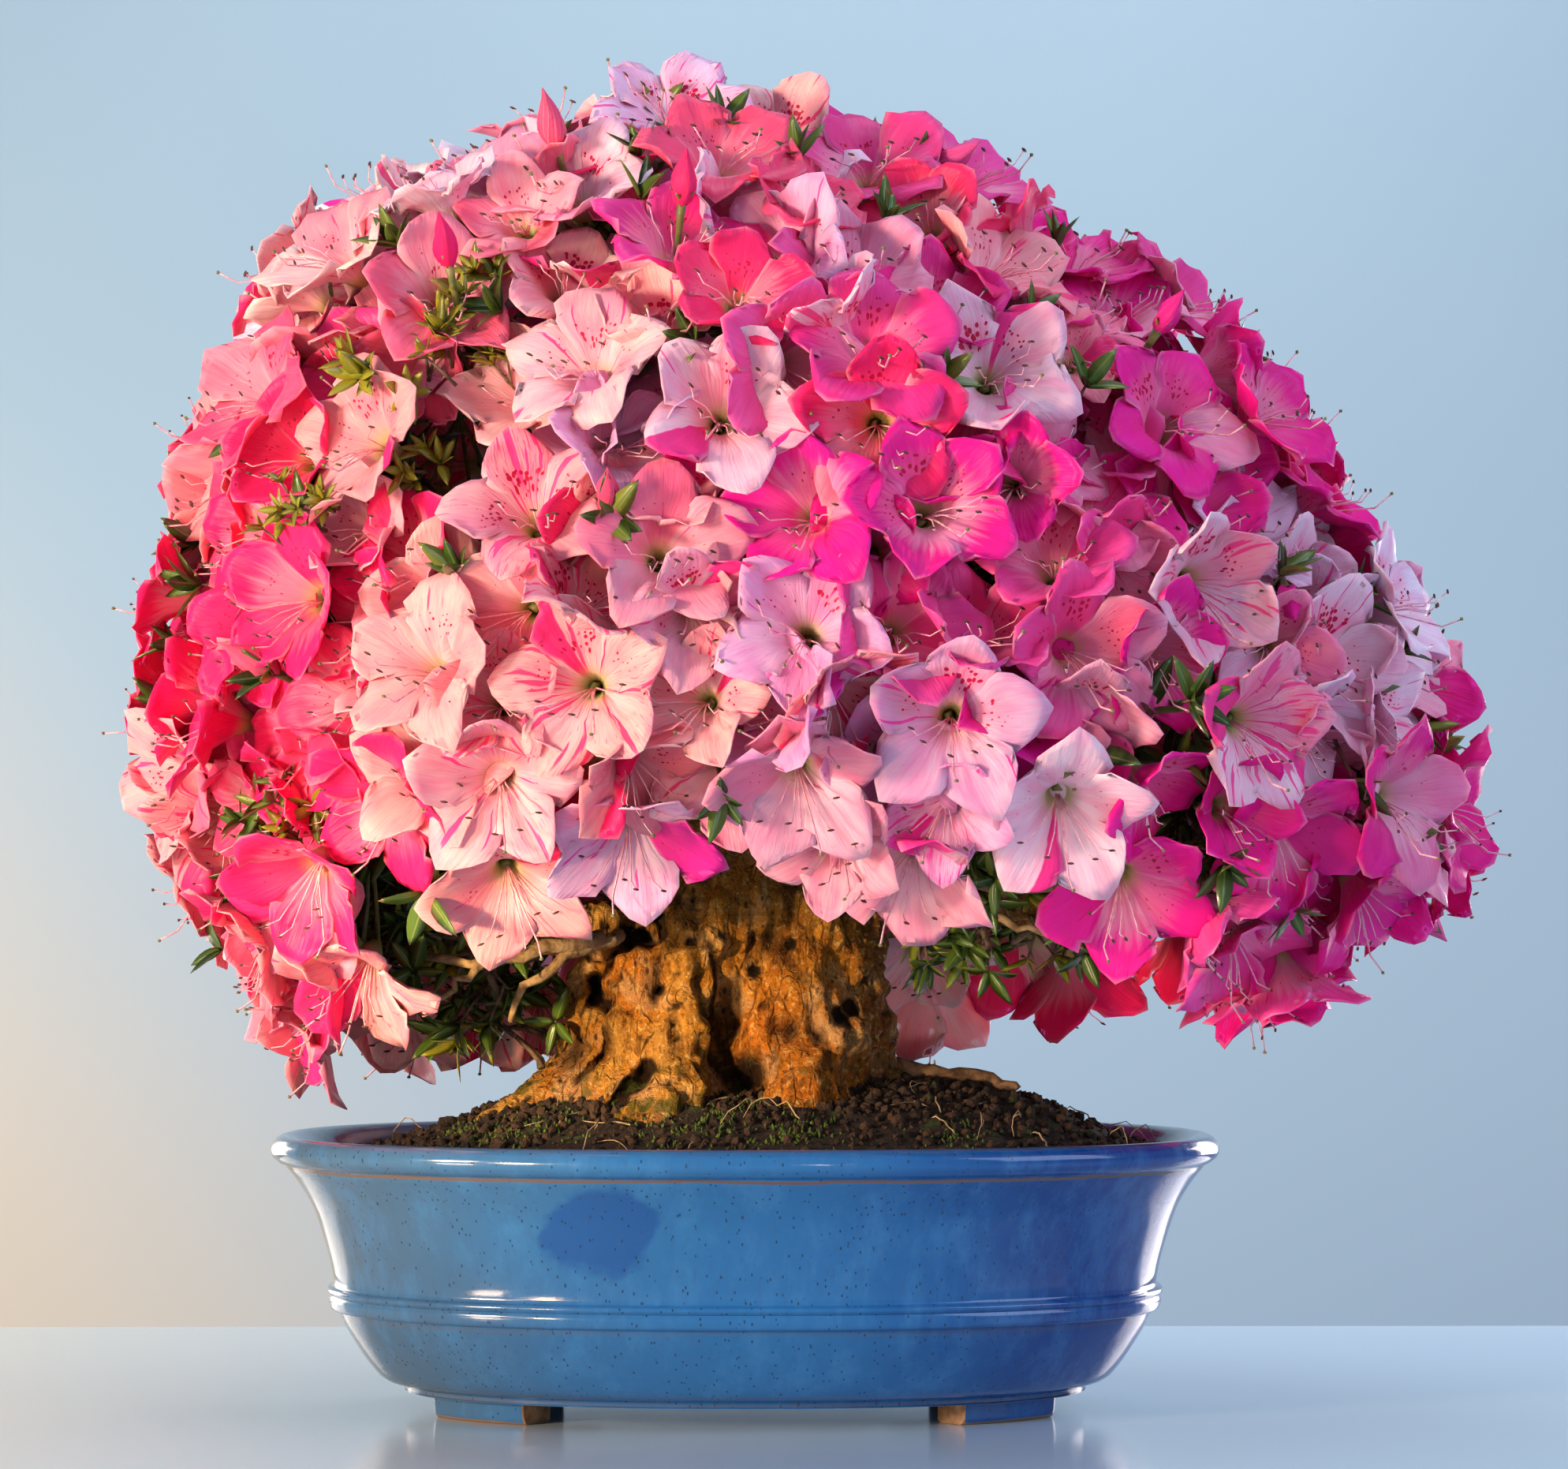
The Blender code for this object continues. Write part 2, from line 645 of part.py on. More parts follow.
def pad_mesh(dome, middle, others):
    """A lens of twigs and leaves that follows the dome, inside its own share of the crown.

    others are the middles of the pads around it.
    """
    site, normal = dome.nearest(middle)
    turn = axes_along(normal)
    own_deep = site - normal * PAD_DEPTH
    others_deep = [p - n * PAD_DEPTH for p, n in map(dome.nearest, others)]

    def at(direction, reach, depth):
        flat = turn @ Vector((math.cos(direction), math.sin(direction), 0)) * reach
        place, out = dome.nearest(site + flat)
        return place - out * depth

    def reach_towards(direction):
        reach = PAD_LEAST
        while reach < PAD_REACH:
            place = at(direction, reach + PAD_STEP, PAD_DEPTH)
            if any((place - own_deep).length > (place - c).length - 2 * PAD_MARGIN for c in others_deep):
                break
            if place.z < at(direction, reach, PAD_DEPTH).z and dome.nearest(place)[0].z < PAD_LOWEST:
                break
            reach += PAD_STEP
        return reach

    n = PAD_SECTORS
    directions = [2 * math.pi * k / n for k in range(n)]
    reaches = [reach_towards(d) for d in directions]
    reaches = [min(r, 0.5 * r + 0.5 * max(reaches[k - 1], reaches[(k + 1) % n])) for k, r in enumerate(reaches)]
    top = [at(d, PAD_TOP_REACH * r, PAD_DEPTH) for d, r in zip(directions, reaches)]
    rim = [at(d, r, PAD_DEPTH + 0.4 * PAD_THICKNESS) for d, r in zip(directions, reaches)]
    under = [at(d, PAD_TOP_REACH * r, PAD_DEPTH + PAD_THICKNESS) for d, r in zip(directions, reaches)]
    points = [own_deep] + top + rim + under + [site - normal * (PAD_DEPTH + PAD_THICKNESS * 1.15)]
    last = 3 * n + 1
    faces = []
    for k in range(n):
        j = (k + 1) % n
        faces += [
            (0, 1 + k, 1 + j),
            (1 + k, 1 + n + k, 1 + n + j),
            (1 + k, 1 + n + j, 1 + j),
            (1 + n + k, 1 + 2 * n + k, 1 + 2 * n + j),
            (1 + n + k, 1 + 2 * n + j, 1 + n + j),
            (last, 1 + 2 * n + j, 1 + 2 * n + k),
        ]
    return points, faces


def hit_any(shape, others):
    return any(shape.overlap(other) for other in others)


def hub_mesh(middle, outward, radius):
    """The knot where a bunch's stalks meet, one corner pointing straight down."""
    bm = bmesh.new()
    bmesh.ops.create_uvsphere(bm, u_segments=4, v_segments=2, radius=radius)
    turn = axes_along(outward)
    points = [middle + turn @ v.co for v in bm.verts]
    faces = [tuple(v.index for v in f.verts) for f in bm.faces]
    bm.free()
    return points, faces


def hub_on(dome, pad_tree, site, pad_site):
    """The middle of a hub that rests on its pad, as near as can be to below site, and its way up."""
    quarters = [math.pi / 2 * k for k in range(4)]
    around = [Vector((math.cos(a), math.sin(a), 0)) * HUB_RADIUS * HUB_FOOTING for a in quarters]
    for step in range(21):
        start, out = dome.nearest(site.lerp(pad_site, step * 0.05))
        hit, _, _, _ = pad_tree.ray_cast(start, -out)
        turn = axes_along(out)
        if hit and all(pad_tree.ray_cast(start + turn @ r, -out)[0] for r in around):
            middle = hit + out * HUB_RADIUS
            while tree_of(*hub_mesh(middle, out, HUB_RADIUS + GAP)).overlap(pad_tree):
                middle += out * (GAP / 3)
            return middle, out
    raise ValueError("a bunch has no pad below it")


def place_blooms(sites, normals, bunch_of, roots, pads, hubs):
    """Chooses each bloom's level, tilt, turn and size so that no two petals cross."""
    draw = random.Random(SEED + 1)
    order = sorted(range(len(sites)), key=lambda i: draw.random())
    placed = {}
    trials = [(size, level) for size in BLOOM_SIZES for level in BLOOM_LEVELS for _ in range(TURNS_TRIED)]
    for i in order:
        near = [j for j in placed if (sites[i] - sites[j]).length < NEIGHBOUR_REACH]
        strangers = [placed[j]["whole"] for j in near if bunch_of[j] != bunch_of[i]] + pads
        strangers += [hub for g, hub in enumerate(hubs) if g != bunch_of[i]]
        family = [placed[j] for j in near if bunch_of[j] == bunch_of[i]]
        for size, level in trials:
            tilt = Vector([draw.gauss(0, amount) for amount in BLOOM_TILT])
            turn = axes_along((normals[i] + tilt).normalized(), draw.uniform(0, 2 * math.pi))
            place = sites[i] + normals[i] * level
            radius = BLOOM_RADIUS * size
            root = roots[bunch_of[i]] + (roots[bunch_of[i]] - place).normalized() * STALK_PAST_CENTRE
            if (turn.transposed() @ (root - place)).z > -BLOOM_NECK * size - STALK_LEAST:
                continue
            points, faces = bloom_mesh(place, turn, radius * BLOOM_CLEARANCE, root)
            whole = tree_of(points, faces)
            face_only = tree_of(points, faces[:-3])
            if hit_any(whole, strangers) or hit_any(whole, [f["face"] for f in family]):
                continue
            if hit_any(face_only, [f["whole"] for f in family]):
                continue
            placed[i] = {"face": face_only, "whole": whole, "shape": bloom_mesh(place, turn, radius, root)}
            break
    return placed


def bloom_tone(place):
    """Pale blooms across the lower front and the upper left, deep pink on both flanks."""
    return min(BLOOM_TONES, key=lambda tone: min((place - Vector(p)).length for p in BLOOM_TONES[tone]))


def build_bunches(placed, bunch_of, roots, hubs_up, collection, finishes):
    """One object for each bunch: its blooms, joined where their stalks meet."""
    for g, root in enumerate(roots):
        members = [i for i in sorted(placed) if bunch_of[i] == g]
        tone = bloom_tone(root)
        bunch = add_object(
            f"blooms_{tone}_{g + 1:02d}", mesh_from(*hub_mesh(root, hubs_up[g], HUB_RADIUS)), collection
        )
        blooms = [add_object("bloom", mesh_from(*placed[i]["shape"]), bpy.context.scene.collection) for i in members]
        apply_boolean(bunch, blooms, "UNION")
        bunch.data.materials.clear()
        bunch.data.materials.append(finishes[tone])


def whorl_mesh(base, tip, outward, draw):
    """A twig that ends in a ring of pointed leaves, as one closed shape: points and faces."""
    turn = axes_along(outward, draw.uniform(0, 2 * math.pi))
    ring, points = [], []
    for k in range(WHORL_LEAVES):
        around = 2 * math.pi * (k + draw.uniform(-0.12, 0.12)) / WHORL_LEAVES
        spread = draw.uniform(*LEAF_SPREAD)
        length = LEAF_LENGTH * draw.uniform(0.85, 1.1)
        along = Vector((math.sin(spread) * math.cos(around), math.sin(spread) * math.sin(around), math.cos(spread)))
        side = Vector((-math.sin(around), math.cos(around), 0)) * LEAF_WIDTH / 2
        half_way = 2 * math.pi * (k + 0.5) / WHORL_LEAVES
        ring += [
            along * length * LEAF_WIDEST - side,
            along * length,
            along * length * LEAF_WIDEST + side,
            Vector((math.cos(half_way), math.sin(half_way), 0.4)) * TWIG_RADIUS * 1.6,
        ]
    middle = Vector((0, 0, LEAF_CENTRE))
    thirds = [2 * math.pi / 3 * k for k in range(3)]
    neck = [Vector((math.cos(a), math.sin(a), -0.5)) * TWIG_RADIUS for a in thirds]
    points = [tip + turn @ p for p in ring + [middle] + neck]
    points += [base + turn @ Vector((p.x, p.y, 0)) * 1.25 for p in neck]
    count = len(ring)
    nearest = [
        min(range(3), key=lambda k: abs(angle_between(math.atan2(p.y, p.x), thirds[k])))
        for p in ring
    ]
    faces = [(count, k, (k + 1) % count) for k in range(count)]
    for k in range(count):
        j = (k + 1) % count
        first, second = count + 1 + nearest[k], count + 1 + nearest[j]
        faces.append((j, k, first))
        if first != second:
            faces.append((j, first, second))
    for k in range(3):
        j = (k + 1) % 3
        faces.append((count + 1 + j, count + 1 + k, count + 4 + k))
        faces.append((count + 1 + j, count + 4 + k, count + 4 + j))
    faces.append((count + 6, count + 5, count + 4))
    return points, faces


def grow_leaves(pad, dome, obstacles, draw):
    """Leafy twigs for one pad: some below it, some out between the blooms above it.

    obstacles are the trees of everything the leaves must miss; what grows is added to them.
    """
    points, _ = pad
    n = PAD_SECTORS
    lower, outer = [], []
    for k in range(n):
        top, rim, under = points[1 + k], points[1 + n + k], points[1 + 2 * n + k]
        down = (under - points[0]).normalized()
        sideways = (rim - points[0]).normalized()
        lower.append((under.lerp(rim, 0.4), (down + sideways).normalized(), TWIG_BELOW))
        for share in (0.25, 0.6, 0.95):
            start = points[0].lerp(top, share)
            out = dome.nearest(start)[1]
            for end in TWIG_ENDS:
                outer.append((start, (out + UP * 0.15).normalized(), PAD_DEPTH - end))
    draw.shuffle(lower)
    draw.shuffle(outer)
    shapes = []
    for spots, wanted in ((lower, LOWER_WHORLS), (outer, OUTER_WHORLS)):
        grown = 0
        for start, out, length in spots:
            shape = whorl_mesh(start - out * TWIG_SUNK, start + out * length, out, draw)
            tree = tree_of(*shape)
            if grown < wanted and not hit_any(tree, obstacles):
                shapes.append(shape)
                obstacles.append(tree)
                grown += 1
    return shapes


def build_pads(pads, dome, fixed, collection, finish):
    draw = random.Random(SEED + 4)
    pad_trees = [tree_of(*pad) for pad in pads]
    grown_trees = []
    for k, pad in enumerate(pads):
        others = [t for j, t in enumerate(pad_trees) if j != k]
        obstacles = fixed + others + grown_trees
        before = len(obstacles)
        shapes = grow_leaves(pad, dome, obstacles, draw)
        grown_trees += obstacles[before:]
        body = add_object(f"foliage_{k + 1:02d}", mesh_from(*pad), collection)
        leaves = [add_object("leaf", mesh_from(*s), bpy.context.scene.collection) for s in shapes]
        apply_boolean(body, leaves, "UNION")
        body.data.materials.clear()
        body.data.materials.append(finish)


def limb_path(end, out, start):
    """A limb from the trunk that bends up into the middle of a pad's underside."""
    before = end - out * 0.030
    level = Vector((before.x - start.x, before.y - start.y, 0))
    first = start + level * 0.33 + Vector((0, 0, 0.004))
    points = []
    for i in range(LIMB_POINTS):
        t = i / (LIMB_POINTS - 1)
        a = start.lerp(first, t)
        b = first.lerp(before, t)
        c = before.lerp(end, t)
        p = a.lerp(b, t).lerp(b.lerp(c, t), t)
        wave = math.sin(math.pi * t) * LIMB_WAVE
        points.append(p + Vector((unit_noise(p, 21, 1.0), unit_noise(p, 21, 4.0), unit_noise(p, 21, 8.0))) * wave)
    return points


def arched(start, end, arch):
    """A limb straight from start to end but for its middle, which is higher by arch."""
    shares = [i / (LIMB_POINTS - 1) for i in range(LIMB_POINTS)]
    return [start.lerp(end, t) + UP * (arch * math.sin(math.pi * t)) for t in shares]


def branch_up_to(points, radii, sides, pad_trees):
    """A branch whose tip stops just short of the pads; None where that would shorten it too far."""
    back = (points[-2] - points[-1]).normalized()
    for step in range(40):
        branch = tapered_branch(points[:-1] + [points[-1] + back * (GAP + 0.0002 * step)], radii, sides)
        faces = [tuple(p.vertices) for p in branch.data.polygons]
        if not hit_any(tree_of([v.co for v in branch.data.vertices], faces), pad_trees):
            return branch
        bpy.data.objects.remove(branch)
    return None


def trunk_section(height):
    """The trunk's centre x, half-length and half-depth at a height."""
    heights = [s[0] for s in TRUNK_SECTIONS]
    return [float(np.interp(height, heights, [s[k] for s in TRUNK_SECTIONS])) for k in (1, 2, 3)]


def limb_start(site, height):
    """Where a limb towards site leaves the trunk at a height, inside the bark."""
    height = min(LIMB_HIGHEST, max(LIMB_LOWEST, height))
    centre_x, half_x, half_y = trunk_section(height)
    towards = math.atan2(site.y, site.x - centre_x)
    return Vector((centre_x + math.cos(towards) * half_x * 0.45, math.sin(towards) * half_y * 0.45, height))


def limbs_to_pad(site, out, pad_tree, pad_trees, guide):
    """A limb into the middle of a pad's underside, with a fork to one side of it."""
    starts = [limb_start(site, 0.085 + 0.62 * site.z + shift) for shift in LIMB_SHIFTS]
    end, _, _, _ = pad_tree.ray_cast(site - out * 0.2, out)
    paths = [limb_path(end, out, starts[0])]
    if guide:
        last = Vector(guide[-1])
        met = pad_tree.ray_cast(last, end - last)[0]
        paths = [[Vector(p) for p in guide] + [last.lerp(met, 0.5) + UP * arch, met] for arch in LIMB_ARCHES]
    for start in starts:
        met = pad_tree.ray_cast(start, end - start)[0]
        paths += [arched(start, met, arch) for arch in LIMB_ARCHES]
    thick = float(np.interp(starts[0].z, [LIMB_LOWEST, LIMB_HIGHEST], [LIMB_THICKEST, LIMB_THINNEST]))
    steps = LIMB_POINTS - 1
    radii = [thick * (1 - LIMB_TAPER * (i / steps) ** 1.1) for i in range(LIMB_POINTS)]
    limb = None
    while limb is None and paths:
        path = paths.pop(0)
        limb = branch_up_to(path, radii, 6, pad_trees)
    made = [limb]
    side = out.cross(UP)
    side = side.normalized() if side.length > 0.1 else Vector((1, 0, 0))
    for sign in (1, -1) if limb else ():
        away = (side * sign + out * 0.9).normalized()
        fork_end, _, _, _ = pad_tree.ray_cast(path[2] + away * 0.01, away)
        if fork_end and (fork_end - path[2]).length < FORK_REACH:
            bend = path[2].lerp(fork_end, 0.5) - UP * 0.006
            fork_radii = [radii[2] * 0.7, radii[2] * 0.5, TWIG_TIP]
            made.append(branch_up_to([path[2], bend, fork_end], fork_radii, 4, pad_trees))
            break
    return [m for m in made if m]


def build_trunk(pads, middles, dome, collection, finish):
    trunk = add_object("trunk", trunk_body(), collection)
    extras = [burl(*b) for b in BURLS]
    pad_trees = [tree_of(*pad) for pad in pads]
    low = [k for k, m in enumerate(middles) if m.z < CROWN_MID_Z]
    guides = {min(low, key=lambda k: middles[k].x): LEFT_LIMB, max(low, key=lambda k: middles[k].x): RIGHT_LIMB}
    for k, middle in enumerate(middles):
        site, out = dome.nearest(middle)
        extras += limbs_to_pad(site, out, pad_trees[k], pad_trees, guides.get(k))
    apply_boolean(trunk, extras, "UNION")
    trunk.data.materials.clear()
    trunk.data.materials.append(finish)
    trunk.data.shade_smooth()
    trunk.data.set_sharp_from_angle(angle=math.radians(50))
    return trunk


def build_crown_and_trunk(collection, bark, green, tones):
    dome = Dome()
    places = dome.samples(DOME_SAMPLES)
    sites = [places[i] for i in spread_out(places, BLOOM_COUNT)]
    normals = [dome.nearest(p)[1] for p in sites]
    bunch_of, bunch_middles = grouped(sites, BUNCHES)
    pad_of, middles = grouped(bunch_middles, PADS)
    pads = [pad_mesh(dome, m, middles[:k] + middles[k + 1:]) for k, m in enumerate(middles)]
    pad_trees = [tree_of(*pad) for pad in pads]
    roots, hubs_up = [], []
    for g, middle in enumerate(bunch_middles):
        site, _ = dome.nearest(middle)
        pad_site, _ = dome.nearest(middles[pad_of[g]])
        root, out = hub_on(dome, pad_trees[pad_of[g]], site, pad_site)
        roots.append(root)
        hubs_up.append(out)
    hub_trees = [tree_of(*hub_mesh(r, up, HUB_RADIUS + GAP)) for r, up in zip(roots, hubs_up)]
    placed = place_blooms(sites, normals, bunch_of, roots, pad_trees, hub_trees)
    build_bunches(placed, bunch_of, roots, hubs_up, collection, tones)
    trunk = build_trunk(pads, middles, dome, collection, bark)
    trunk_faces = [tuple(p.vertices) for p in trunk.data.polygons]
    trunk_tree = tree_of([v.co for v in trunk.data.vertices], trunk_faces)
    obstacles = [p["whole"] for p in placed.values()] + hub_trees + [trunk_tree]
    build_pads(pads, dome, obstacles, collection, green)


def centre_on_origin(collection):
    """Hangs every piece on one empty, and moves it so that the footprint's middle is the origin."""
    bpy.context.view_layer.update()
    corners = [obj.matrix_world @ Vector(c) for obj in collection.objects for c in obj.bound_box]
    low = Vector(min(c[i] for c in corners) for i in range(3))
    high = Vector(max(c[i] for c in corners) for i in range(3))
    stand = bpy.data.objects.new("bonsai_origin", None)
    collection.objects.link(stand)
    for obj in list(collection.objects):
        if obj is not stand:
            obj.parent = stand
    stand.location = (-(low.x + high.x) / 2, -(low.y + high.y) / 2, -low.z)


def main():
    for obj in list(bpy.data.objects):
        bpy.data.objects.remove(obj)
    collection = bpy.data.collections.new("satsuki azalea bonsai")
    bpy.context.scene.collection.children.link(collection)
    glaze = material("blue glaze", (0.10, 0.26, 0.52), 0.18)
    soil_finish = material("soil", (0.07, 0.035, 0.02), 0.95)
    bark = material("bark", (0.36, 0.17, 0.06), 0.85)
    green = material("leaves", (0.07, 0.14, 0.03), 0.5)
    plastic = material("drain mesh", (0.03, 0.03, 0.03), 0.6)
    tones = {
        "pale": material("pale petals", (0.90, 0.56, 0.60), 0.55),
        "magenta": material("magenta petals", (0.76, 0.09, 0.36), 0.55),
        "coral": material("coral petals", (0.88, 0.12, 0.22), 0.55),
    }
    build_pot(collection, glaze)
    build_screen("drain_screen_left", -DRAIN_AT, collection, plastic)
    build_screen("drain_screen_right", DRAIN_AT, collection, plastic)
    build_soil(collection, soil_finish)
    build_crown_and_trunk(collection, bark, green, tones)
    centre_on_origin(collection)


main()
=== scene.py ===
"""Looks for the satsuki azalea bonsai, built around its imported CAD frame."""

import math
import random
import bmesh
import bpy
import numpy as np
from mathutils import Matrix, Vector, noise
from mathutils.bvhtree import BVHTree


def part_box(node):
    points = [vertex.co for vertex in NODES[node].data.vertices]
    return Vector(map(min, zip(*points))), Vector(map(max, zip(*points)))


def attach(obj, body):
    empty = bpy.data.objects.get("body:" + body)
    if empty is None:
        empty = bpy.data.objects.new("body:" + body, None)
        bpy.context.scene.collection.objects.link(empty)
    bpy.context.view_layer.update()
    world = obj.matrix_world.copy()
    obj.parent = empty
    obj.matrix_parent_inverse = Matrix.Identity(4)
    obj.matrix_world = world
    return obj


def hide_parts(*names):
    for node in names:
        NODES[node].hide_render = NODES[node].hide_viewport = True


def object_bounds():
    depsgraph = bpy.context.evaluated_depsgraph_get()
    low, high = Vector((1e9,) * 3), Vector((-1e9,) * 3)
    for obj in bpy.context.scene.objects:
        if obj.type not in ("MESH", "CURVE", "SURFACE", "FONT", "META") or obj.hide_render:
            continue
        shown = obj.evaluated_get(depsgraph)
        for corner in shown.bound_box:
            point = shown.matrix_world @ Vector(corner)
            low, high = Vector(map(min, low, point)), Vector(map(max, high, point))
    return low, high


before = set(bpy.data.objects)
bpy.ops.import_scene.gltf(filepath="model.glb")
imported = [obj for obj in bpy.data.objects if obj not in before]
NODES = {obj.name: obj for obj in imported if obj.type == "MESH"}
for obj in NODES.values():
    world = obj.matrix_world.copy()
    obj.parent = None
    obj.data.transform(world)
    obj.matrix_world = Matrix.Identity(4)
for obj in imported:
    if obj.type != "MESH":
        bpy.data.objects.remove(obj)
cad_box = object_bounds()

# The pot's middle on the floor. Sizes below are in metres from it, so each mesh is moved here at the end.
POT_LOW, POT_HIGH = (Vector(corner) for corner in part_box("pot"))
MIDDLE = Vector(((POT_LOW.x + POT_HIGH.x) / 2, (POT_LOW.y + POT_HIGH.y) / 2, 0))
UP = Vector((0, 0, 1))


# Small helpers


def smoothstep(low, high, value):
    share = min(1.0, max(0.0, (value - low) / (high - low)))
    return share * share * (3 - 2 * share)


def rough(point, scale, offset=0.0, octaves=1):
    """Noise around 0 at a point, with detail of 1/scale metres."""
    spot = Vector(point) * scale + Vector((offset, 3.1 * offset, 7.7))
    if octaves == 1:
        return noise.noise(spot)
    return noise.fractal(spot, 0.6, 2.1, octaves)


def axes_along(normal, towards):
    """A rotation whose z is the normal and whose x is as near to the other direction as it can be."""
    z = normal.normalized()
    x = towards - z * towards.dot(z)
    if x.length < 1e-5:
        x = z.orthogonal()
    x.normalize()
    return Matrix((x, z.cross(x), z)).transposed()


def any_way(draw):
    """A random vector whose three parts are between -1 and 1."""
    return Vector([draw.uniform(-1, 1) for _ in range(3)])


def tilted(direction, draw, amount):
    """The direction turned by a random share of an angle."""
    return (direction + amount * any_way(draw)).normalized()


class Shape:
    """Points, faces and corner values gathered from many small forms, for one mesh."""

    def __init__(self):
        self.points, self.faces, self.slots = [], [], []
        self.values = []
        self.count = 0

    def add(self, points, faces, slot=0, values=None):
        """values is one array with a row for each corner of the faces, in order."""
        points = np.asarray(points, float).reshape(-1, 3)
        self.points.append(points)
        self.faces += [[corner + self.count for corner in face] for face in faces]
        self.slots += [slot] * len(faces)
        corners = sum(len(face) for face in faces)
        self.values.append((corners, values))
        self.count += len(points)

    def piece(self, name, materials, fields=(), slot=None, replaces=(), smooth=True):
        """The object. fields names the columns of values, three to each."""
        mesh = bpy.data.meshes.new(name)
        mesh.from_pydata(np.concatenate(self.points).tolist(), [], self.faces)
        mesh.polygons.foreach_set("material_index", self.slots)
        mesh.polygons.foreach_set("use_smooth", [smooth] * len(self.faces))
        for finish in materials:
            mesh.materials.append(finish)
        if fields:
            rows = [np.zeros((n, 3 * len(fields))) if v is None else v for n, v in self.values]
            table = np.concatenate(rows)
            for number, field in enumerate(fields):
                kept = mesh.attributes.new(field, "FLOAT_VECTOR", "CORNER")
                kept.data.foreach_set("vector", table[:, 3 * number : 3 * number + 3].ravel())
        return placed(name, mesh, replaces)


def linked(name, data):
    """A new object of the scene."""
    made = bpy.data.objects.new(name, data)
    bpy.context.scene.collection.objects.link(made)
    return made


def placed(name, mesh, replaces=()):
    """The mesh as an object of the scene, riding on the tree's one body."""
    piece = linked(name, mesh)
    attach(piece, "root")
    if replaces:
        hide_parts(*replaces)
    return piece


def rod_faces(rings, sides, closed=True):
    """Faces between rings of points, then the first end and, when closed, the last end."""
    faces = []
    for ring in range(rings - 1):
        for k in range(sides):
            a, b = ring * sides + k, ring * sides + (k + 1) % sides
            faces.append((a, b, b + sides, a + sides))
    faces.append(tuple(range(sides - 1, -1, -1)))
    if closed:
        faces.append(tuple(range((rings - 1) * sides, rings * sides)))
    return faces


def bowl_faces(rings, sides):
    """Faces of a closed bowl: one point in the middle, rings of points, and another point in the middle."""
    faces = []
    last = 1 + (rings - 1) * sides
    for k in range(sides):
        after = (k + 1) % sides
        faces.append((0, 1 + k, 1 + after))
        for ring in range(rings - 1):
            a, b = 1 + ring * sides + k, 1 + ring * sides + after
            faces.append((a, a + sides, b + sides, b))
        faces.append((last + sides, last + after, last + k))
    return faces


def tube(path, radii, sides, tip=True):
    """Points and faces of a closed round rod along a path."""
    path = [Vector(p) for p in path]
    points = []
    side = (path[1] - path[0]).orthogonal().normalized()
    for number, place in enumerate(path):
        ahead = path[min(number + 1, len(path) - 1)] - path[max(number - 1, 0)]
        ahead.normalize()
        side = (side - ahead * side.dot(ahead)).normalized()
        other = ahead.cross(side)
        for k in range(sides):
            turn = 2 * math.pi * k / sides
            points.append(place + radii[number] * (math.cos(turn) * side + math.sin(turn) * other))
    faces = rod_faces(len(path), sides, not tip)
    if tip:
        last = (len(path) - 1) * sides
        points.append(path[-1] + (path[-1] - path[-2]).normalized() * radii[-1])
        faces += [(last + k, last + (k + 1) % sides, len(points) - 1) for k in range(sides)]
    return points, faces


def curve_points(points, steps):
    """A smooth curve through points, as steps + 1 places."""
    points = [Vector(p) for p in points]
    spots = [points[0] * 2 - points[1]] + points + [points[-1] * 2 - points[-2]]
    made = []
    for step in range(steps + 1):
        at = step / steps * (len(points) - 1)
        n = min(int(at), len(points) - 2)
        t = at - n
        a, b, c, d = spots[n : n + 4]
        bend, turn = 2 * a - 5 * b + 4 * c - d, 3 * b - a - 3 * c + d
        made.append(0.5 * (2 * b + (c - a) * t + bend * t * t + turn * t**3))
    return made


# Materials


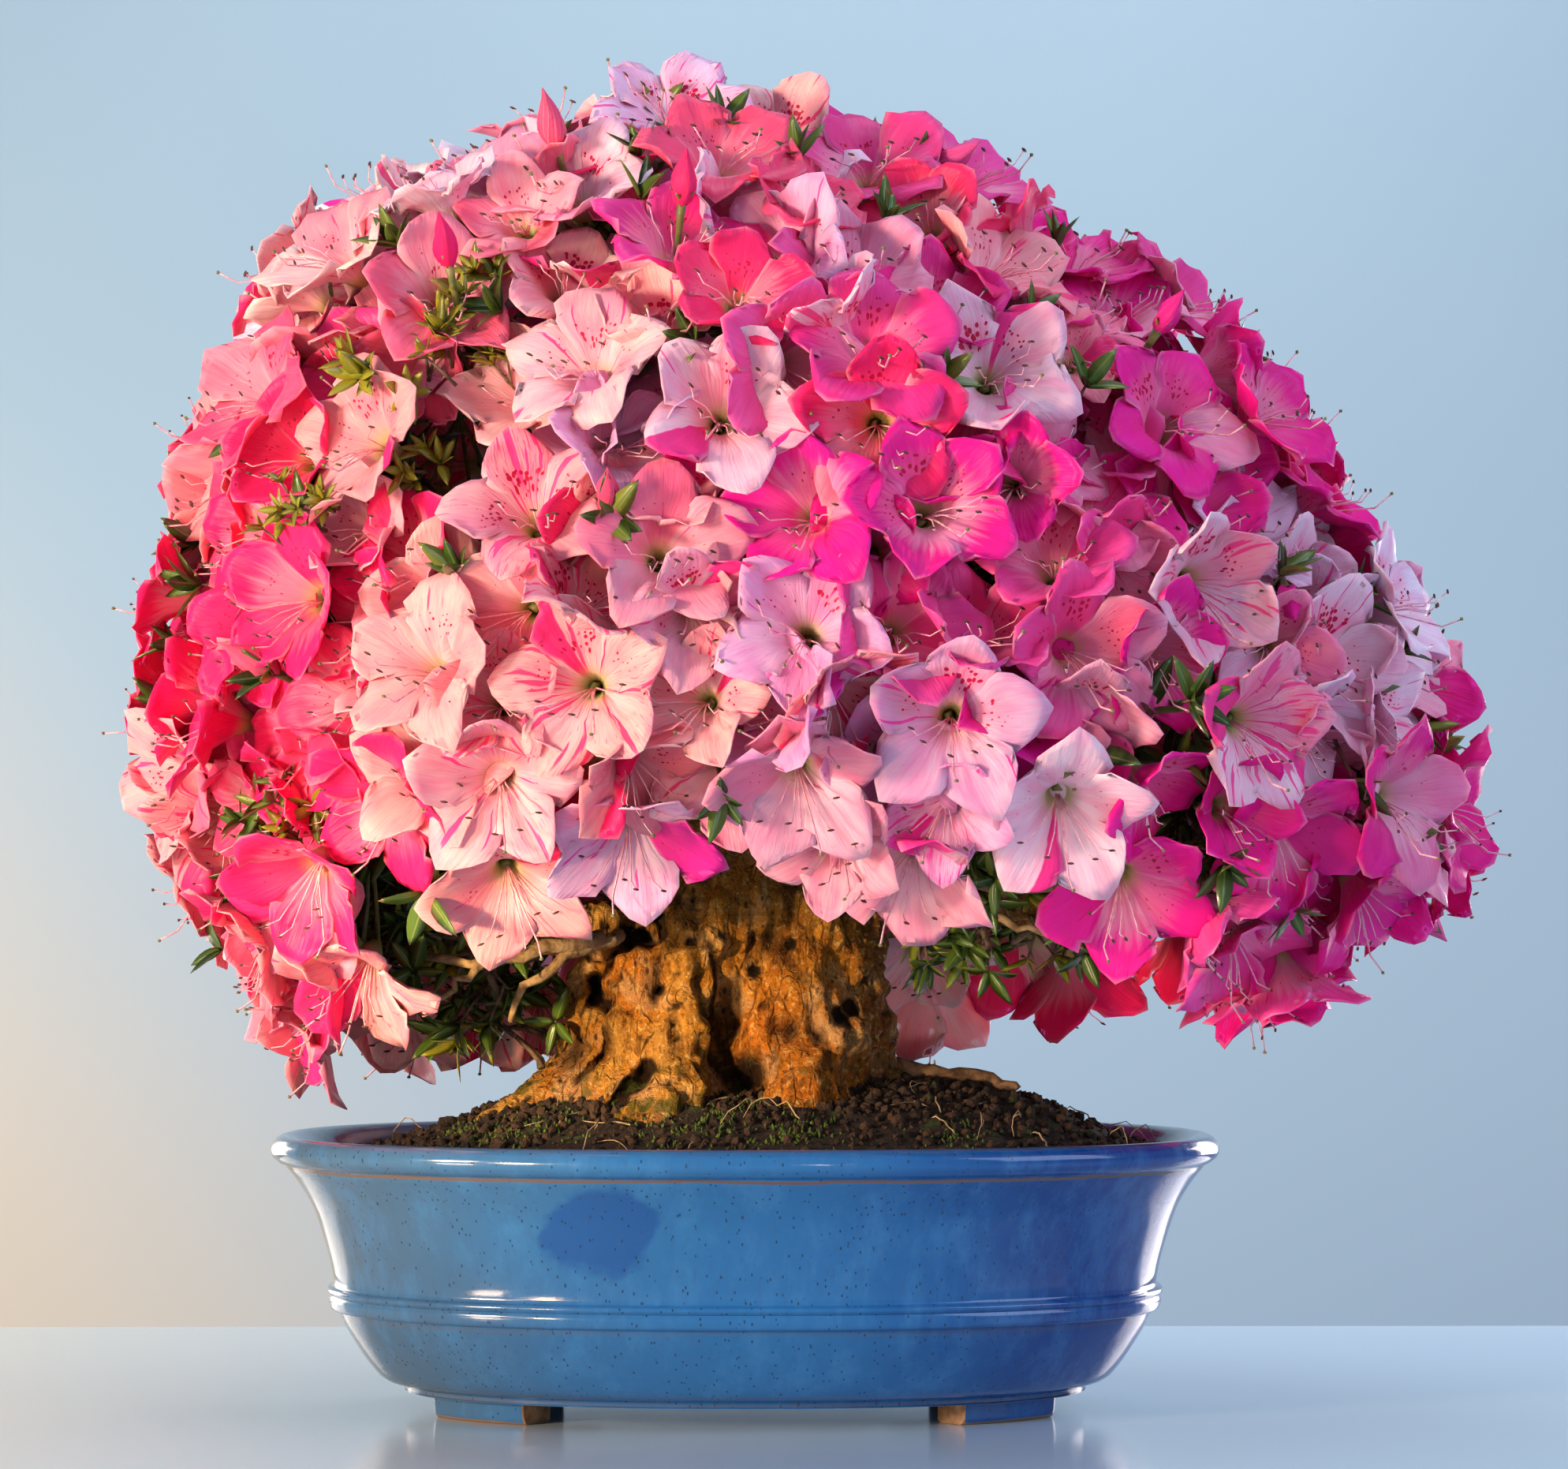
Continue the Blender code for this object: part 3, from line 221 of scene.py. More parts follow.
class Finish:
    """A material under construction: short names for the nodes that its colours are made with."""

    def __init__(self, name, roughness=0.5, **sockets):
        self.material = bpy.data.materials.new(name)
        self.material.use_nodes = True
        self.tree = self.material.node_tree
        self.shader = self.tree.nodes["Principled BSDF"]
        self.shader.inputs["Roughness"].default_value = roughness
        for socket, value in sockets.items():
            self.shader.inputs[socket.replace("_", " ")].default_value = value

    def link(self, value, socket):
        if isinstance(value, bpy.types.NodeSocket):
            self.tree.links.new(value, socket)
        elif isinstance(value, (tuple, list)) and len(value) == 3 and len(socket.default_value) == 4:
            socket.default_value = (*value, 1)
        else:
            socket.default_value = value

    def node(self, kind, output=0, inputs=(), **settings):
        made = self.tree.nodes.new("ShaderNode" + kind)
        for name, value in settings.items():
            setattr(made, name, value)
        for socket, value in dict(inputs).items():
            self.link(value, made.inputs[socket])
        return made.outputs[output]

    def place(self):
        return self.node("TexCoord", "Object")

    def attribute(self, name, output="Vector"):
        return self.node("Attribute", output, attribute_name=name)

    def split(self, vector):
        """The three numbers of a vector."""
        return self.node("SeparateXYZ", 0, {0: vector}).node.outputs[:3]

    def maths(self, operation, a, b=0.0, c=0.0):
        return self.node("Math", 0, {0: a, 1: b, 2: c}, operation=operation)

    def times(self, a, b):
        return self.maths("MULTIPLY", a, b)

    def vector(self, x, y, z):
        return self.node("CombineXYZ", 0, {0: x, 1: y, 2: z})

    def scaled(self, vector, by):
        return self.node("VectorMath", 0, {0: vector, 1: by}, operation="MULTIPLY")

    def noise(self, vector, scale, detail=2.0, roughness=0.5):
        inputs = {"Vector": vector, "Scale": scale, "Detail": detail, "Roughness": roughness}
        return self.node("TexNoise", "Fac", inputs)

    def cells(self, vector, scale, output="Distance", feature="F1"):
        return self.node("TexVoronoi", output, {"Vector": vector, "Scale": scale}, feature=feature)

    def step(self, value, low, high, out_low=0.0, out_high=1.0):
        """The value from low to high, brought smoothly to out_low to out_high."""
        inputs = {0: value, 1: low, 2: high, 3: out_low, 4: out_high}
        return self.node("MapRange", 0, inputs, interpolation_type="SMOOTHSTEP")

    def mix(self, share, a, b):
        """Sockets 0, 6 and 7 of the mix node are its share and its two colours, and output 2 is their mix."""
        return self.node("Mix", 2, {0: share, 6: a, 7: b}, data_type="RGBA")

    def colour(self, share, a, b):
        """Begins the colour as a mix of two."""
        self.paint = self.mix(share, a, b)
        self.link(self.paint, self.shader.inputs["Base Color"])

    def cover(self, share, tint):
        """Lays a tint over the colour so far."""
        self.colour(share, self.paint, tint)

    def gloss(self, value):
        self.link(value, self.shader.inputs["Roughness"])

    def bump(self, height, strength, distance):
        inputs = {"Height": height, "Strength": strength, "Distance": distance}
        self.link(self.node("Bump", 0, inputs), self.shader.inputs["Normal"])


def petal_finish():
    """Petals. tint and wash are the bloom's own colours, and marks says how striped and blotched it is."""
    made = Finish("azalea petals", 0.5, Subsurface_Weight=0.2, Subsurface_Scale=0.0022)
    made.shader.inputs["Subsurface Radius"].default_value = (1.0, 0.42, 0.5)
    made.shader.inputs["Specular IOR Level"].default_value = 0.18
    across, along, seed = made.split(made.attribute("petal"))
    tint = made.attribute("tint")
    wash = made.attribute("wash")
    striped, blotched, edge = made.split(made.attribute("marks"))
    wide = made.maths("ABSOLUTE", across)

    # The whole petal: a soft change of depth, and a paler heart above the throat.
    drift = made.noise(made.vector(across, along, seed), 1.6, 2.0)
    made.colour(made.step(drift, 0.32, 0.7, 0.0, 0.7), tint, made.mix(0.5, tint, wash))
    luck = made.step(made.noise(made.vector(seed, 2.0, 5.0), 0.9), 0.38, 0.62, 0.0, 0.40)
    ray = made.noise(made.vector(made.times(across, 4.0), 0.0, seed), 1.6, 1.0)
    reach = made.maths("MULTIPLY_ADD", ray, 0.5, 0.30)
    heart = made.times(made.step(made.maths("SUBTRACT", along, reach), 0.12, -0.25), luck)
    made.cover(heart, (0.96, 0.72, 0.80))

    # Broad stripes and fine flecks of the second colour, which run from throat to tip.
    lanes = made.vector(made.maths("MULTIPLY_ADD", across, 2.6, made.times(seed, 3.1)), along, seed)
    broad = made.noise(made.scaled(lanes, (1.0, 0.55, 1.0)), 2.1, 1.0)
    limit = made.maths("MULTIPLY_ADD", striped, -0.16, 0.76)
    stripe = made.step(made.maths("SUBTRACT", broad, limit), 0.0, 0.035, 0.0, 0.9)
    fine = made.noise(made.scaled(lanes, (3.6, 2.2, 1.0)), 2.4, 2.0)
    fleck = made.step(made.maths("SUBTRACT", fine, limit), 0.02, 0.07, 0.0, 0.6)
    sector = made.step(made.maths("ADD", across, made.times(drift, 0.2)), edge, made.maths("ADD", edge, 0.05))
    marks = made.maths("MAXIMUM", made.maths("MAXIMUM", stripe, fleck), sector)
    made.cover(marks, wash)

    # Fine veins, a pale margin and the yellow-green throat.
    fan = made.vector(made.times(across, 9.0), made.times(along, 1.3), seed)
    vein = made.noise(fan, 2.0, 2.0, 0.6)
    made.cover(made.step(vein, 0.35, 0.75, 0.0, 0.35), made.mix(0.55, made.paint, wash))
    brim = made.maths("MAXIMUM", made.step(wide, 0.86, 1.0), made.step(along, 0.93, 1.0))
    made.cover(made.times(brim, 0.16), (1.0, 0.86, 0.9))
    made.cover(made.step(along, 0.26, 0.04), (0.62, 0.64, 0.22))

    # The blotch: crimson dots on the upper petals, thickest near the throat.
    spots = made.cells(made.vector(made.times(across, 5.5), made.times(along, 15), seed), 1.0)
    near = made.times(made.step(along, 0.24, 0.34), made.step(along, 0.66, 0.42))
    near = made.times(made.times(near, made.step(wide, 0.95, 0.45)), blotched)
    reach = made.times(near, 0.46)
    dot = made.step(made.maths("SUBTRACT", reach, spots), -0.02, 0.05)
    made.cover(made.times(near, 0.42), (0.86, 0.05, 0.20))
    made.cover(dot, (0.50, 0.005, 0.06))
    made.gloss(made.step(vein, 0.3, 0.8, 0.36, 0.52))
    folds = made.noise(made.vector(made.times(across, 3.5), along, seed), 2.0, 3.0, 0.6)
    made.bump(folds, 0.55, 0.0012)
    return made.material


def simple_finish(name, dark, pale, scale, roughness, bump=0.0005):
    """Two colours mixed by noise, with a little relief."""
    made = Finish(name, roughness)
    grain = made.noise(made.place(), scale, 4.0, 0.6)
    made.colour(made.step(grain, 0.3, 0.7), dark, pale)
    made.bump(grain, 0.6, bump)
    return made.material


# Leaves with a seed from this number on are young and yellow-green.
YOUNG_SEED = 100


def leaf_finish():
    made = Finish("azalea leaves", 0.32, Subsurface_Weight=0.08, Subsurface_Scale=0.0012)
    made.shader.inputs["Coat Weight"].default_value = 0.12
    across, along, seed = made.split(made.attribute("leaf"))
    age = made.noise(made.vector(seed, 0.3, 0.7), 1.3, 1.0)
    made.colour(made.step(age, 0.3, 0.6), (0.014, 0.048, 0.008), (0.075, 0.145, 0.015))
    made.cover(made.step(age, 0.6, 0.75), (0.24, 0.27, 0.03))
    young = made.times(made.step(seed, YOUNG_SEED - 2, YOUNG_SEED - 1), made.step(age, 0.30, 0.55, 0.35, 1.0))
    made.cover(young, (0.36, 0.31, 0.012))
    blade = made.noise(made.place(), 260, 3.0)
    made.cover(made.step(blade, 0.35, 0.7, 0.0, 0.4), (0.09, 0.15, 0.03))
    rib = made.step(made.maths("ABSOLUTE", across), 0.16, 0.02)
    made.cover(made.times(rib, 0.55), (0.22, 0.30, 0.09))
    tip = made.times(made.step(along, 0.86, 1.0), made.step(age, 0.45, 0.6))
    made.cover(made.times(tip, 0.7), (0.20, 0.07, 0.03))
    waves = {"Vector": made.vector(0.0, along, 0.0), "Scale": 1.8, "Distortion": 2.0}
    ribs = made.node("TexWave", "Fac", waves)
    made.bump(made.maths("ADD", ribs, made.times(rib, -1.5)), 0.3, 0.0004)
    return made.material


# Blooms

PETALS = 5
ACROSS = 6
TUBE_ROWS = 2
LOBE_ROWS = 4
# The rows of the corolla's tube: places along the petals, radii and depths. A shut bloom's radii are less.
TUBE_ALONG = (0.0, 0.17, 0.36)
TUBE_RADII = (0.05, 0.17, 0.42)
TUBE_DEPTHS = (-0.76, -0.52, -0.27)
TUBE_CLOSED = 0.85
THROAT_DEPTH = 0.017
CAD_RADIUS = 0.0315
CAD_TIP = 1.04
PETAL_THICKNESS = 0.016
THROAT_EDGES = 20
EVENLY = np.linspace(-1, 1, ACROSS + 1)
# Places across a petal, closer together near its sides, where its outline bends most.
PLACES_ACROSS = 0.65 * EVENLY + 0.35 * np.sin(EVENLY * math.pi / 2)
FINE_OVER_CAD = 1.07
# How far the fine blooms may stand out in front of the CAD model.
FRONT_SLACK = 0.0115
STAMEN_REACH = 0.56
# How far the petals' ends hang down, as a share of the bloom's radius.
PETAL_SAG = 0.16
PETAL_FIELDS = ("petal", "tint", "wash", "marks")

DEEP = {
    "coral": ((1.00, 0.022, 0.190), (0.95, 0.004, 0.115)),
    "magenta": ((0.90, 0.012, 0.330), (0.72, 0.003, 0.155)),
}
PALE = {
    "coral": ((0.95, 0.37, 0.40), (0.98, 0.030, 0.20)),
    "magenta": ((0.78, 0.37, 0.66), (0.84, 0.025, 0.34)),
    "pale": ((0.90, 0.38, 0.52), (0.92, 0.035, 0.27)),
}


def corolla_layout():
    """What all corollas share: the points' numbers, the faces, and where their corners are on the petals."""
    rows = TUBE_ROWS + LOBE_ROWS + 1
    index = np.zeros((PETALS, rows, ACROSS + 1), int)
    count = 0
    for row in range(rows):
        free = row > TUBE_ROWS
        for k in range(PETALS):
            for col in range(ACROSS + free):
                index[k, row, col] = count
                count += 1
        if not free:
            for k in range(PETALS):
                index[k, row, ACROSS] = index[(k + 1) % PETALS, row, 0]
    across = PLACES_ACROSS
    top = 1 - 0.30 * np.abs(across) ** 2.2
    along = np.zeros((rows, ACROSS + 1))
    for row in range(rows):
        if row <= TUBE_ROWS:
            along[row] = TUBE_ALONG[row]
        else:
            along[row] = TUBE_ALONG[-1] + (top - TUBE_ALONG[-1]) * (row - TUBE_ROWS) / LOBE_ROWS
    faces, corners = [], []
    for k in range(PETALS):
        for row in range(rows - 1):
            for col in range(ACROSS):
                spots = ((row, col), (row + 1, col), (row + 1, col + 1), (row, col + 1))
                faces.append([index[k, r, c] for r, c in spots])
                corners += [(across[c], along[r, c], k) for r, c in spots]
    used = {}
    for face, start in zip(faces, range(0, len(corners), 4)):
        for n in range(4):
            used[(face[n], face[(n + 1) % 4])] = (corners[start + n], corners[start + (n + 1) % 4])
    rims = [(a, b, at) for (a, b), at in used.items() if (b, a) not in used]
    for a, b, (at_a, at_b) in rims:
        faces.append([b, a, a + count, b + count])
        corners += [at_b, at_a, at_a, at_b]
    front = len(faces) - len(rims)
    faces += [[corner + count for corner in reversed(face)] for face in faces[:front]]
    for start in range(0, 4 * front, 4):
        corners += reversed(corners[start : start + 4])
    return index, count, faces, np.array(corners), front


INDEX, ONE_SIDE, COROLLA_FACES, COROLLA_CORNERS, FRONT_FACES = corolla_layout()
FRONT_QUADS = np.array(COROLLA_FACES[:FRONT_FACES])


def corolla_points(draw, opening, ruffle):
    """Points of a corolla of radius 1 that looks along z, with petal 0 towards x. opening 1 is fully open."""
    points = np.zeros((ONE_SIDE, 3))
    u = PLACES_ACROSS
    fifth = math.pi / PETALS
    tightness = TUBE_CLOSED + (1 - TUBE_CLOSED) * opening
    for row in range(TUBE_ROWS + 1):
        pleat = 1 - 0.045 * row * (1 - np.cos(math.pi * u)) / 2
        for k in range(PETALS):
            turn = 2 * fifth * k + fifth * u
            r = TUBE_RADII[row] * tightness * pleat
            depth = np.full(ACROSS + 1, TUBE_DEPTHS[row])
            points[INDEX[k, row]] = np.stack([r * np.cos(turn), r * np.sin(turn), depth], 1)
    ring = TUBE_RADII[-1] * tightness
    for k in range(PETALS):
        long = draw.uniform(0.95, 1.07) * (1.03 if k == 0 else 1.0)
        wide = draw.uniform(0.355, 0.43)
        lift = (1 - opening) * 1.15 + draw.uniform(-0.14, 0.30)
        swing = draw.uniform(-0.08, 0.08)
        twist = draw.uniform(-0.20, 0.20)
        curl = draw.uniform(0.02, 0.17)
        waves = [draw.uniform(0, 2 * math.pi) for _ in range(3)]
        hollow = draw.uniform(0.02, 0.06)
        arch = draw.uniform(-0.05, 0.10)
        pointed = draw.uniform(0.0, 0.055)
        top_r = long * (0.68 + 0.35 * (1 - np.abs(u) ** 1.85)) + pointed * np.exp(-((u / 0.2) ** 2))
        top_x = wide * np.sign(u) * np.abs(u) ** 0.95
        for step in range(1, LOBE_ROWS + 1):
            s = step / LOBE_ROWS
            r = ring * np.cos(fifth * u) * (1 - s) + top_r * s
            x = ring * np.sin(fifth * u) * (1 - s) + top_x * s + 0.11 * u * math.sin(math.pi * s**0.85)
            x += 0.018 * np.sin(9 * s + waves[2]) * np.abs(u) ** 3 * s
            q = np.clip((np.hypot(r, x) - ring) / (1.05 - ring), 0, 1.2)
            z = TUBE_DEPTHS[-1] * (1 - np.minimum(q, 1)) ** 1.4 - curl * q**2.6
            z -= hollow * np.exp(-((u / 0.22) ** 2)) * math.sin(math.pi * s) ** 0.7
            z -= arch * u**2 * s
            z += ruffle * np.abs(u) ** 1.6 * np.sin(2 * math.pi * 1.7 * s + waves[0] + 2.2 * (u > 0)) * s**0.5
            z += ruffle * 0.7 * s**3 * np.sin(2 * math.pi * 0.9 * u + waves[1])
            z += 0.05 * u * s**0.7 + twist * x * s
            bend = lift * s**0.6
            out, rise = r - ring, z - TUBE_DEPTHS[-1]
            r = ring + out * np.cos(bend) - rise * np.sin(bend)
            z = TUBE_DEPTHS[-1] + out * np.sin(bend) + rise * np.cos(bend)
            turn = 2 * fifth * k + swing * s
            cos, sin = math.cos(turn), math.sin(turn)
            points[INDEX[k, TUBE_ROWS + step]] = np.stack([r * cos - x * sin, r * sin + x * cos, z], 1)
    return points


def thickened(points):
    """The points with a second set behind them, a petal's thickness away."""
    a, b, c, d = (points[FRONT_QUADS[:, n]] for n in range(4))
    flat = np.cross(c - a, d - b)
    normals = np.zeros_like(points)
    for n in range(4):
        np.add.at(normals, FRONT_QUADS[:, n], flat)
    normals /= np.linalg.norm(normals, axis=1)[:, None] + 1e-12
    return np.concatenate([points, points - normals * PETAL_THICKNESS])


class Bloom:
    """Where a bloom is, which way it looks and how large it is."""

    def __init__(self, centre, axis, upper, radius, tone, bunch, hub, seed, under=False):
        self.centre, self.axis, self.upper, self.radius = centre, axis, upper, radius
        self.tone, self.bunch, self.hub, self.under = tone, bunch, hub, under
        self.deep = False
        self.draw = random.Random(seed)


# CAD blooms at the opening in the upper left and over the trunk's top that stand a little aside: about where
# each one is, and its shift.
NUDGES = [
    (Vector((-0.030, -0.180, 0.225)), Vector((-0.012, 0.002, 0.005))),
    (Vector((0.015, -0.215, 0.250)), Vector((0.006, 0.002, 0.004))),
    (Vector((-0.095, -0.195, 0.370)), Vector((0.013, 0.002, -0.003))),
    (Vector((-0.100, -0.160, 0.405)), Vector((0.010, 0.003, 0.012))),
]
NUDGE_REACH = 0.010
# The hub, where a bunch's stalks meet, is the middle of what is this far behind all its throats.
HUB_DEPTH = 0.009


def cad_blooms():
    """The blooms of the CAD model, read from their throats, where all faces of a bloom's front meet."""
    found = []
    for name in sorted(NODES):
        if not name.startswith("blooms_"):
            continue
        mesh = bmesh.new()
        mesh.from_mesh(NODES[name].data)
        bmesh.ops.remove_doubles(mesh, verts=mesh.verts, dist=2e-6)
        throats = []
        for vert in mesh.verts:
            if len(vert.link_edges) != THROAT_EDGES:
                continue
            ring = [edge.other_vert(vert).co for edge in vert.link_edges]
            axis = (sum(ring, Vector()) / len(ring) - vert.co).normalized()
            reach = [(p - vert.co) - axis * (p - vert.co).dot(axis) for p in ring]
            tips = sorted(reach, key=lambda way: -way.length)[:PETALS]
            upper = max(tips, key=lambda way: way.normalized().dot(UP))
            radius = sum(way.length for way in tips) / PETALS / CAD_TIP
            throats.append((vert.co.copy(), axis, upper.normalized(), radius))
        behind = [
            v.co for v in mesh.verts
            if all((v.co - place).dot(axis) < -HUB_DEPTH for place, axis, _, _ in throats)
        ]
        hub = sum(behind, Vector()) / len(behind) if behind else throats[0][0] - throats[0][1] * 0.03
        for place, axis, upper, radius in throats:
            centre = place + axis * THROAT_DEPTH * radius / CAD_RADIUS
            seed = len(found)
            bloom = Bloom(centre, axis, upper, radius * FINE_OVER_CAD, name.split("_")[1], name, hub, seed)
            bloom.axis = tilted(axis, bloom.draw, 0.17)
            for beside, shift in NUDGES:
                if (centre - MIDDLE - beside).length < NUDGE_REACH:
                    bloom.centre = centre + shift
            found.append(bloom)
        mesh.free()
    return found


CROWN_HEART = Vector((0.0, 0.0, 0.29))
# The dark opening between the blooms of the upper left.
CROWN_HOLLOW, HOLLOW_RADIUS = Vector((-0.118, -0.172, 0.388)), 0.047
# Boxes under the crown on both sides of the trunk, where leaves are seen and no bloom is added.
LEAFY_SPACES = [
    ((-0.166, -0.21, 0.10), (-0.050, 0.03, 0.240)), ((0.050, -0.21, 0.10), (0.186, 0.03, 0.236)),
    ((-0.040, -0.21, 0.10), (0.032, -0.02, 0.244)),
]
# Places tried all over the crown, and how far down from its top they go, where 2 is down to its lowest point.
CROWN_SAMPLES, CROWN_SPAN = 2600, 1.55
# A place stands at the depth of the blooms around its direction, if one of them is within reach.
NEAR_BLOOMS, NEAR_SOFTNESS, BLOOM_REACH = 5, 0.0004, 0.060
# A low place needs a bloom that is this near, seen from above, and this much lower.
LOW_REACH, LOW_DROP = 0.055, 0.004
GOLDEN_TURN = math.pi * (3 - math.sqrt(5))


def kept_clear(place):
    """Whether a place is in the opening or in a leafy space."""
    if (place - CROWN_HOLLOW).length < HOLLOW_RADIUS:
        return True
    return any(all(low[n] < place[n] < high[n] for n in range(3)) for low, high in LEAFY_SPACES)


def crown_spots(blooms):
    """Places all over the surface through the CAD blooms, with the way that blooms look there."""
    spots = []
    heart = MIDDLE + CROWN_HEART
    for number in range(CROWN_SAMPLES):
        rise = 1 - CROWN_SPAN * (number + 0.5) / CROWN_SAMPLES
        turn = number * GOLDEN_TURN
        way = Vector((math.cos(turn), math.sin(turn), 0)) * math.sqrt(1 - rise * rise) + UP * rise
        near = sorted(blooms, key=lambda bloom: -(bloom.centre - heart).normalized().dot(way))[:NEAR_BLOOMS]
        shares = [1 / (NEAR_SOFTNESS + (1 - (b.centre - heart).normalized().dot(way))) for b in near]
        reach = sum(s * (b.centre - heart).length for s, b in zip(shares, near)) / sum(shares)
        place = heart + way * reach
        if min((b.centre - place).length for b in near) > BLOOM_REACH:
            continue
        if kept_clear(place - MIDDLE):
            continue
        around = [
            b.centre.z for b in blooms if (b.centre - place).xy.length < LOW_REACH and b.axis.dot(way) > 0
        ]
        if place.z < heart.z and min(around, default=place.z) > place.z - LOW_DROP:
            continue
        axis = sum((b.axis * s for s, b in zip(shares, near)), Vector()).normalized()
        spots.append((place, axis))
    return spots


def filled_in(spots, blooms, wanted, spacing, depth, first_seed):
    """More blooms at the places with the most room, each in the bunch that it is nearest to."""
    draw = random.Random(first_seed)
    taken = [bloom.centre for bloom in blooms]
    gaps = [min((place - other).length for other in taken) for place, _ in spots]
    made = []
    while len(made) < wanted:
        best = max(range(len(spots)), key=lambda n: gaps[n])
        if gaps[best] < spacing:
            break
        place, axis = spots[best]
        for n, (other, _) in enumerate(spots):
            gaps[n] = min(gaps[n], (other - place).length)
        near = min(blooms, key=lambda bloom: (bloom.centre - place).length)
        seed = first_seed + len(made)
        radius = CAD_RADIUS * draw.uniform(0.88, 1.12)
        centre = place - axis * draw.uniform(*depth)
        way = tilted(axis, draw, 0.6)
        upper = tilted(UP, draw, 0.5)
        made.append(Bloom(centre, way, upper, radius, near.tone, near.bunch, near.hub, seed, True))
    return made


def roomiest(spots, blooms, wanted, apart):
    """The places with the most room between blooms, at least so far apart."""
    room = []
    for n, (place, _) in enumerate(spots):
        room.append((min((bloom.centre - place).length / bloom.radius for bloom in blooms), n))
    chosen = []
    for _, n in sorted(room, reverse=True):
        if all((spots[n][0] - spots[other][0]).length > apart for other in chosen):
            chosen.append(n)
        if len(chosen) == wanted:
            break
    return [spots[n] for n in chosen]


# Middles of patches on the crown's front in which most blooms are of one kind. The first two lists were noted
# on the photograph, in pixels across and down. The others are in metres across and up from the pot.
SEEN_DEEP = [
    (414, 434), (502, 394), (655, 144), (575, 168), (873, 208), (840, 281), (325, 539), (382, 619),
    (285, 683), (156, 796), (261, 828), (382, 780), (502, 716), (551, 700), (400, 800), (240, 880),
    (340, 900), (460, 940), (380, 1020), (480, 1020), (440, 1140), (963, 384), (1058, 437), (1132, 511),
    (1164, 384), (1354, 500), (1470, 363), (1576, 490), (1016, 500), (1291, 638), (1111, 765),
    (1407, 743), (1491, 596), (1745, 690), (1850, 891), (1491, 923), (1343, 881), (1280, 807),
    (1407, 891), (1639, 1113), (1776, 1050), (1850, 1029), (1745, 1229), (1555, 1229), (1407, 1176),
    (1000, 640), (1230, 700), (1650, 560), (1180, 260), (1090, 180), (1330, 300), (1560, 800),
    (1640, 800),
]
SEEN_PALE = [
    (446, 305), (333, 402), (623, 257), (808, 353), (800, 474), (849, 555), (664, 635), (792, 603),
    (494, 611), (317, 595), (229, 667), (599, 732), (720, 716), (776, 812), (535, 885), (744, 877),
    (720, 152), (776, 144), (502, 225), (1343, 416), (1259, 374), (1069, 627), (1629, 670), (1787, 765),
    (1681, 891), (1776, 923), (1217, 976), (1354, 1039), (1027, 923), (921, 775), (1016, 1103),
    (1196, 1240), (932, 902), (953, 796), (640, 1060), (560, 930), (770, 900), (910, 930), (820, 780),
    (230, 1030), (350, 1140), (340, 1240), (430, 1240), (490, 1350), (680, 1350), (590, 1330),
    (1000, 230), (900, 130), (680, 430), (1290, 330), (880, 1000), (700, 1080), (960, 1010),
]
MORE_DEEP = [
    (-0.050, 0.510), (0.150, 0.450), (0.165, 0.410), (0.165, 0.310), (0.185, 0.400), (0.245, 0.245),
    (0.260, 0.260), (0.290, 0.270),
]
MORE_PALE = [
    (-0.180, 0.470), (-0.140, 0.500), (-0.120, 0.480), (-0.095, 0.520), (-0.090, 0.490), (-0.090, 0.460),
    (-0.080, 0.505), (-0.070, 0.455), (-0.040, 0.560), (0.000, 0.560), (0.010, 0.485), (0.030, 0.550),
    (0.190, 0.335), (0.210, 0.310),
]
# In pixels, the photograph's width, focal length and middle across, and the row at the camera's height.
PHOTO_WIDTH, FOCAL_LENGTH, PHOTO_MIDDLE, LEVEL_ROW = 1988, 5970, 994, 1153
CAMERA_PLACE = Vector((0.0164, -2.0, 0.210))
# The crown's middle and half size in the photograph, and how far its middle stands out to the front.
CROWN_SEEN, CROWN_HALF_SEEN, CROWN_FRONT = (1000, 760), (860, 640), 0.20


def seen_at(across, down):
    """Where a pixel of the photograph is on the crown's front, across and up, to the millimetre."""
    shares = [(at - middle) / half for at, middle, half in zip((across, down), CROWN_SEEN, CROWN_HALF_SEEN)]
    away = -CAMERA_PLACE.y - CROWN_FRONT * math.sqrt(1 - min(math.hypot(*shares), 1) ** 2)
    x = CAMERA_PLACE.x + (across - PHOTO_MIDDLE) * away / FOCAL_LENGTH
    z = CAMERA_PLACE.z + (LEVEL_ROW - down) * away / FOCAL_LENGTH
    return round(x, 3), round(z, 3)


FRONT_PATCHES = {
    "deep": [seen_at(*pixel) for pixel in SEEN_DEEP] + MORE_DEEP,
    "pale": [seen_at(*pixel) for pixel in SEEN_PALE] + MORE_PALE,
}


